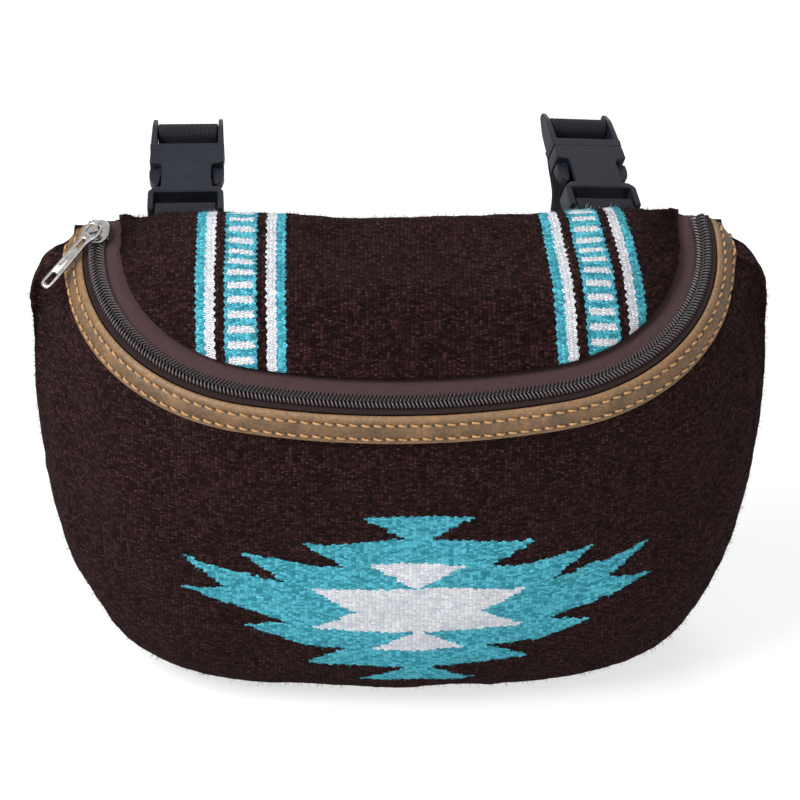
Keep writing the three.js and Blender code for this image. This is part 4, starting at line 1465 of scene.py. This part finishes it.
# Prong half: a flange, two thin ears that hold the bar, a tongue and two latch arms
FLANGE_RISE = 4.6
EAR_BASE_Y = 36.6
EAR_TIP_Y = 54.4
EAR_X = 14.3
EAR_HALF_THICKNESS = 0.9
EAR_LEAN = 0.04
EAR_WEDGE = 0.75


def prong_ear(hand):
    """An upright ear whose inner side thickens toward the flange."""
    lower = [(EAR_BASE_Y, -4.0, 0.4), (47, -3.7, 3), (EAR_TIP_Y, -1.2, 1.0)]
    upper = [(EAR_TIP_Y, 1.6, 1.0), (49, 4.0, 2), (EAR_BASE_Y, 4.4, 0.4)]
    points, faces = plate([corners(lower + upper)], -EAR_HALF_THICKNESS, EAR_HALF_THICKNESS, 0.35)
    along, rise, across = points.T
    x = across + hand * (EAR_X - EAR_LEAN * (along - EAR_BASE_Y))
    wedge = EAR_WEDGE * np.clip((EAR_TIP_Y - along) / (EAR_TIP_Y - EAR_BASE_Y), 0, 1)
    x = np.where(hand * across < 0, x - hand * wedge, x)
    return np.stack([x, along, rise], axis=1), faces


def prong_arm(hand):
    inside = [(9.6, 34.5, 0), (9.6, 27, 3), (10.6, 20.5, 3), (11.4, 16.2, 0.5)]
    hook = [(12.4, 15.4, 0.6), (14.4, 17.4, 1.5), (15.5, 20.8, 3), (15.3, 24.9, 0.5)]
    outside = [(12.2, 25.1, 0.4), (12.1, 34.5, 0)]
    outline = [(hand * x, y, r) for x, y, r in inside + hook + outside]
    return plate([corners(outline[::hand])], -2.3, 2.3, 0.4)


def buckle_prong(side, strap, plastic):
    flange = across_x([(15.2, 33.2, 0.2), (15.4, 37.2, 0.6)])
    tongue = across_x([(1.6, 17, 0.8), (1.6, 34, 0)])
    parts = [
        plate([flange], -FLANGE_RISE, FLANGE_RISE, 0.25),
        plate([tongue], -2.2, 2.2, 0.3),
        crossbar(PRONG_BAR_HALF, PRONG_BAR_Y, PRONG_BAR_RADIUS),
    ]
    for hand in (-1, 1):
        parts += [prong_ear(hand), prong_arm(hand)]
    obj = assembled(f"{side}_prong_shell", parts, buckle_frame(strap), FLAT_ANGLE)
    finish_piece(obj, plastic, f"{side}_prong", "buckle", f"{side}_buckle_prong")


# Webbing along a route of points, each with the direction of the width there
def route_points(points, count):
    """Centripetal curve through the points, at even steps of its parameter."""
    points = np.asarray(points, float)
    padded = np.vstack([2 * points[0] - points[1], points, 2 * points[-1] - points[-2]])
    out = []
    last = len(points) - 1
    for a in np.linspace(0, last, count):
        i = min(int(a), last - 1)
        w = a - i
        p0, p1, p2, p3 = padded[i : i + 4]
        pairs = ((p0, p1), (p1, p2), (p2, p3))
        d0, d1, d2 = [max(np.linalg.norm(q - p) ** 0.5, 1e-4) for p, q in pairs]
        t1 = ((p1 - p0) / d0 - (p2 - p0) / (d0 + d1) + (p2 - p1) / d1) * d1
        t2 = ((p2 - p1) / d1 - (p3 - p1) / (d1 + d2) + (p3 - p2) / d2) * d1
        c2 = -3 * p1 + 3 * p2 - 2 * t1 - t2
        c3 = 2 * p1 - 2 * p2 + t1 + t2
        out.append(p1 + t1 * w + c2 * w * w + c3 * w**3)
    return np.array(out)


WEBBING_SOFT_EDGE = 0.55
WEBBING_RIBS = 24
STEPS_PER_POINT = 8


def webbing_section():
    """Flat section with low ribs and rounded edges."""
    half = WEBBING_WIDTH / 2
    thick = WEBBING_THICKNESS / 2
    flat = np.linspace(half - WEBBING_SOFT_EDGE, WEBBING_SOFT_EDGE - half, WEBBING_RIBS)
    crown = thick - 0.07 * (np.arange(WEBBING_RIBS) % 2)
    edge = [(half - 0.15, -0.6 * thick), (half, 0), (half - 0.15, 0.6 * thick)]
    first = edge + list(zip(flat, crown[::-1]))
    return np.array(first + [(-x, -y) for x, y in first])


def webbing(route):
    """Points, faces and weave of a strap along its route."""
    points = np.array([point for point, _ in route])
    widths = np.array([width for _, width in route])
    count = STEPS_PER_POINT * (len(route) - 1) + 1
    path = route_points(points, count)
    place = np.linspace(0, len(route) - 1, count)
    known = np.arange(len(route))
    width = np.stack([np.interp(place, known, column) for column in widths.T], axis=1)
    tangent = unit(np.gradient(path, axis=0))
    width = unit(width - (width * tangent).sum(axis=1, keepdims=True) * tangent)
    section = webbing_section()
    solid = swept(path, width, np.cross(width, tangent), section)
    return *solid, grid_uv(section[:, 0], run_along(path)[:, None])


def around_bar(y, radius, start, end, count):
    lap = radius + CLEARANCE + WEBBING_THICKNESS / 2
    turn = np.radians(np.linspace(start, end, count + 1))
    return [np.array([0, y + lap * math.cos(t), lap * math.sin(t)]) for t in turn]


STRAP_SKIN_Y = BACK_FACE_Y + CLEARANCE + WEBBING_THICKNESS / 2
LEVEL = np.array([1.0, 0, 0])


def on_panel(x, y, z):
    return np.array([x, y, z]), LEVEL


def on_buckle(point, frame_pair):
    return placed(point, frame_pair), frame_pair[0][:, 0]


def short_route(strap):
    """From the sewn foot up, round the socket's bar and back to the seam."""
    frame_pair = buckle_frame(strap)
    x = strap["x"]
    lap = SOCKET_BAR_RADIUS + CLEARANCE + WEBBING_THICKNESS / 2
    under = on_buckle([0, 0, -lap], frame_pair)
    over = on_buckle([0, -SOCKET_BAR_RADIUS, lap], frame_pair)
    foot = under[0][2] - 7
    seam = over[0][2] - math.tan(math.radians(strap["pitch"])) * BUCKLE_STANDOFF
    turn = around_bar(SOCKET_BAR_RADIUS, SOCKET_BAR_RADIUS, -90, 90, 6)
    return [
        on_panel(x, STRAP_SKIN_Y, foot - SHORT_STRAP_SEWN),
        on_panel(x, STRAP_SKIN_Y, foot - SHORT_STRAP_SEWN / 2),
        on_panel(x, STRAP_SKIN_Y, foot - 2),
        on_panel(x, STRAP_SKIN_Y + 1.8, foot + 2),
        under,
        *[on_buckle(point, frame_pair) for point in turn],
        over,
        on_panel(x, BACK_FACE_Y + CLEARANCE + 5, seam),
        on_panel(x, BACK_FACE_Y + 2 * CLEARANCE, seam),
    ]


def long_route(strap):
    """From the sewn foot out under the buckle, round the prong's bar, ending in a tail."""
    frame_pair = buckle_frame(strap)
    foot_x = strap["foot_x"]
    leave = LONG_STRAP_FOOT + LONG_STRAP_SEWN
    lap = PRONG_BAR_RADIUS + CLEARANCE + WEBBING_THICKNESS / 2
    turned = PRONG_BAR_Y - lap - 4
    tail = -lap - 2 * (WEBBING_THICKNESS + CLEARANCE)
    below = [[0, 22, -15.5], [0, PRONG_BAR_Y - 11, -10.2], [0, PRONG_BAR_Y - 4, -6.8]]
    turn = around_bar(PRONG_BAR_Y, PRONG_BAR_RADIUS, -48, 180, 8)
    end = [
        [0, turned + 3.4, -lap - 0.4],
        [0, turned - 2, tail],
        [0, turned + 1.5 - LONG_STRAP_TAIL, tail - 0.2],
    ]
    return [
        on_panel(foot_x, STRAP_SKIN_Y, LONG_STRAP_FOOT),
        on_panel(foot_x, STRAP_SKIN_Y, leave - 8),
        on_panel(foot_x, STRAP_SKIN_Y + 1.5, leave),
        on_panel(foot_x, STRAP_SKIN_Y + 12, leave + 15),
        *[on_buckle(point, frame_pair) for point in below + turn + end],
    ]


SEWN_HALF = 9.5
SEWN_PITCH = 3.0
SEWN_RADIUS = 0.3
SEWN_LIFT = np.array([-0.1, 0.22, 0.3, 0.22, -0.1])
SEWN_SHARES = np.array([0.1, 0.3, 0.5, 0.7, 0.9])


def box_stitches(pile, x, low, high):
    """A sewn box with a cross on the strap's flat foot."""
    left = x - SEWN_HALF
    right = x + SEWN_HALF
    ring = np.array([(left, low), (right, low), (right, high), (left, high)])
    lines = [(0, 1), (1, 2), (2, 3), (3, 0), (0, 2), (1, 3)]
    skin = STRAP_SKIN_Y + WEBBING_THICKNESS / 2
    for start, end in lines:
        count = max(2, int(np.linalg.norm(ring[end] - ring[start]) / SEWN_PITCH))
        for k in range(count):
            flat = mix(ring[start], ring[end], (k + SEWN_SHARES[:, None]) / count)
            path = np.stack([flat[:, 0], skin + SEWN_LIFT, flat[:, 1]], axis=1)
            pile.add(*thread(path, np.array([0, 1.0, 0.01]), SEWN_RADIUS))


def straps(side, strap, nylon, sewing):
    short = short_route(strap)
    obj = make_object(f"{side}_short_webbing", *webbing(short))
    finish_piece(obj, nylon, "pouch", "webbing", f"{side}_short_strap")
    long = long_route(strap)
    obj = make_object(f"{side}_long_webbing", *webbing(long))
    obj.data.materials.append(nylon)
    start = long[3][0] * MM
    end = long[5][0] * MM
    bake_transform(obj)
    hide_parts(f"{side}_long_strap")
    pile = Pile()
    foot = short[0][0][2]
    box_stitches(pile, strap["x"], foot + 3, foot + SHORT_STRAP_SEWN - 4)
    top = LONG_STRAP_FOOT + LONG_STRAP_SEWN
    box_stitches(pile, strap["foot_x"], LONG_STRAP_FOOT + 3, top - 10)
    finish_piece(pile.made(f"{side}_strap_stitches"), sewing, "pouch", "webbing")


def main():
    add_camera()
    bpy.context.scene.view_settings.view_transform = "Standard"
    add_world()
    add_lights()
    add_floor()
    nylon = webbing_material()
    black_thread = thread_material("black_thread", srgb(62, 60, 66), srgb(26, 25, 28))
    plastic = plastic_material()
    for side, strap in STRAPS.items():
        straps(side, strap, nylon, black_thread)
        buckle_socket(side, strap, plastic)
        buckle_prong(side, strap, plastic)
    plain_wool = wool_material("dark_wool")
    motif_wool = wool_material("motif_wool", motif)
    band_wool = wool_material("band_wool", bands)
    front = front_panel(motif_wool)
    lid = lid_panel(band_wool)
    back = back_panel(plain_wool)
    for panel, held in ((front, "gathered"), (lid, "stretched"), (back, "laid")):
        declare_cloth(panel, held)
    tan_thread = thread_material("tan_thread", srgb(204, 158, 104), srgb(128, 90, 52))
    leather_stitches(*leather_edge(leather_material()), tan_thread)
    pale_tape = tape_material("zip_tape", srgb(94, 72, 72), srgb(56, 40, 40))
    # The front tape is a darker copy of the same tape: painted shade under the leather's overhang
    painted_shade_tape = tape_material("shaded_tape", srgb(58, 43, 43), srgb(32, 22, 22))
    tape("lid_tape", LID_EDGE - TAPE_UNDER_LID, -HALF_PARTING, pale_tape, "zip_tape_lid")
    tape("front_tape", HALF_PARTING, FRONT_EDGE - CLEARANCE, painted_shade_tape, "zip_tape_front")
    nylon_coil = coil_material()
    coil("lid_coil", -1, nylon_coil, "zip_coil_lid")
    coil("front_coil", 1, nylon_coil, "zip_coil_front")
    nickel = nickel_material()
    zip_slider(nickel)
    zip_pull(nickel)
    hairs("front_hair", motif_wool, front, 15000, 3.6)
    hairs("lid_hair", band_wool, lid, 8000, 3.4)
    hairs("back_hair", plain_wool, back, 5000, 3.0)


main()
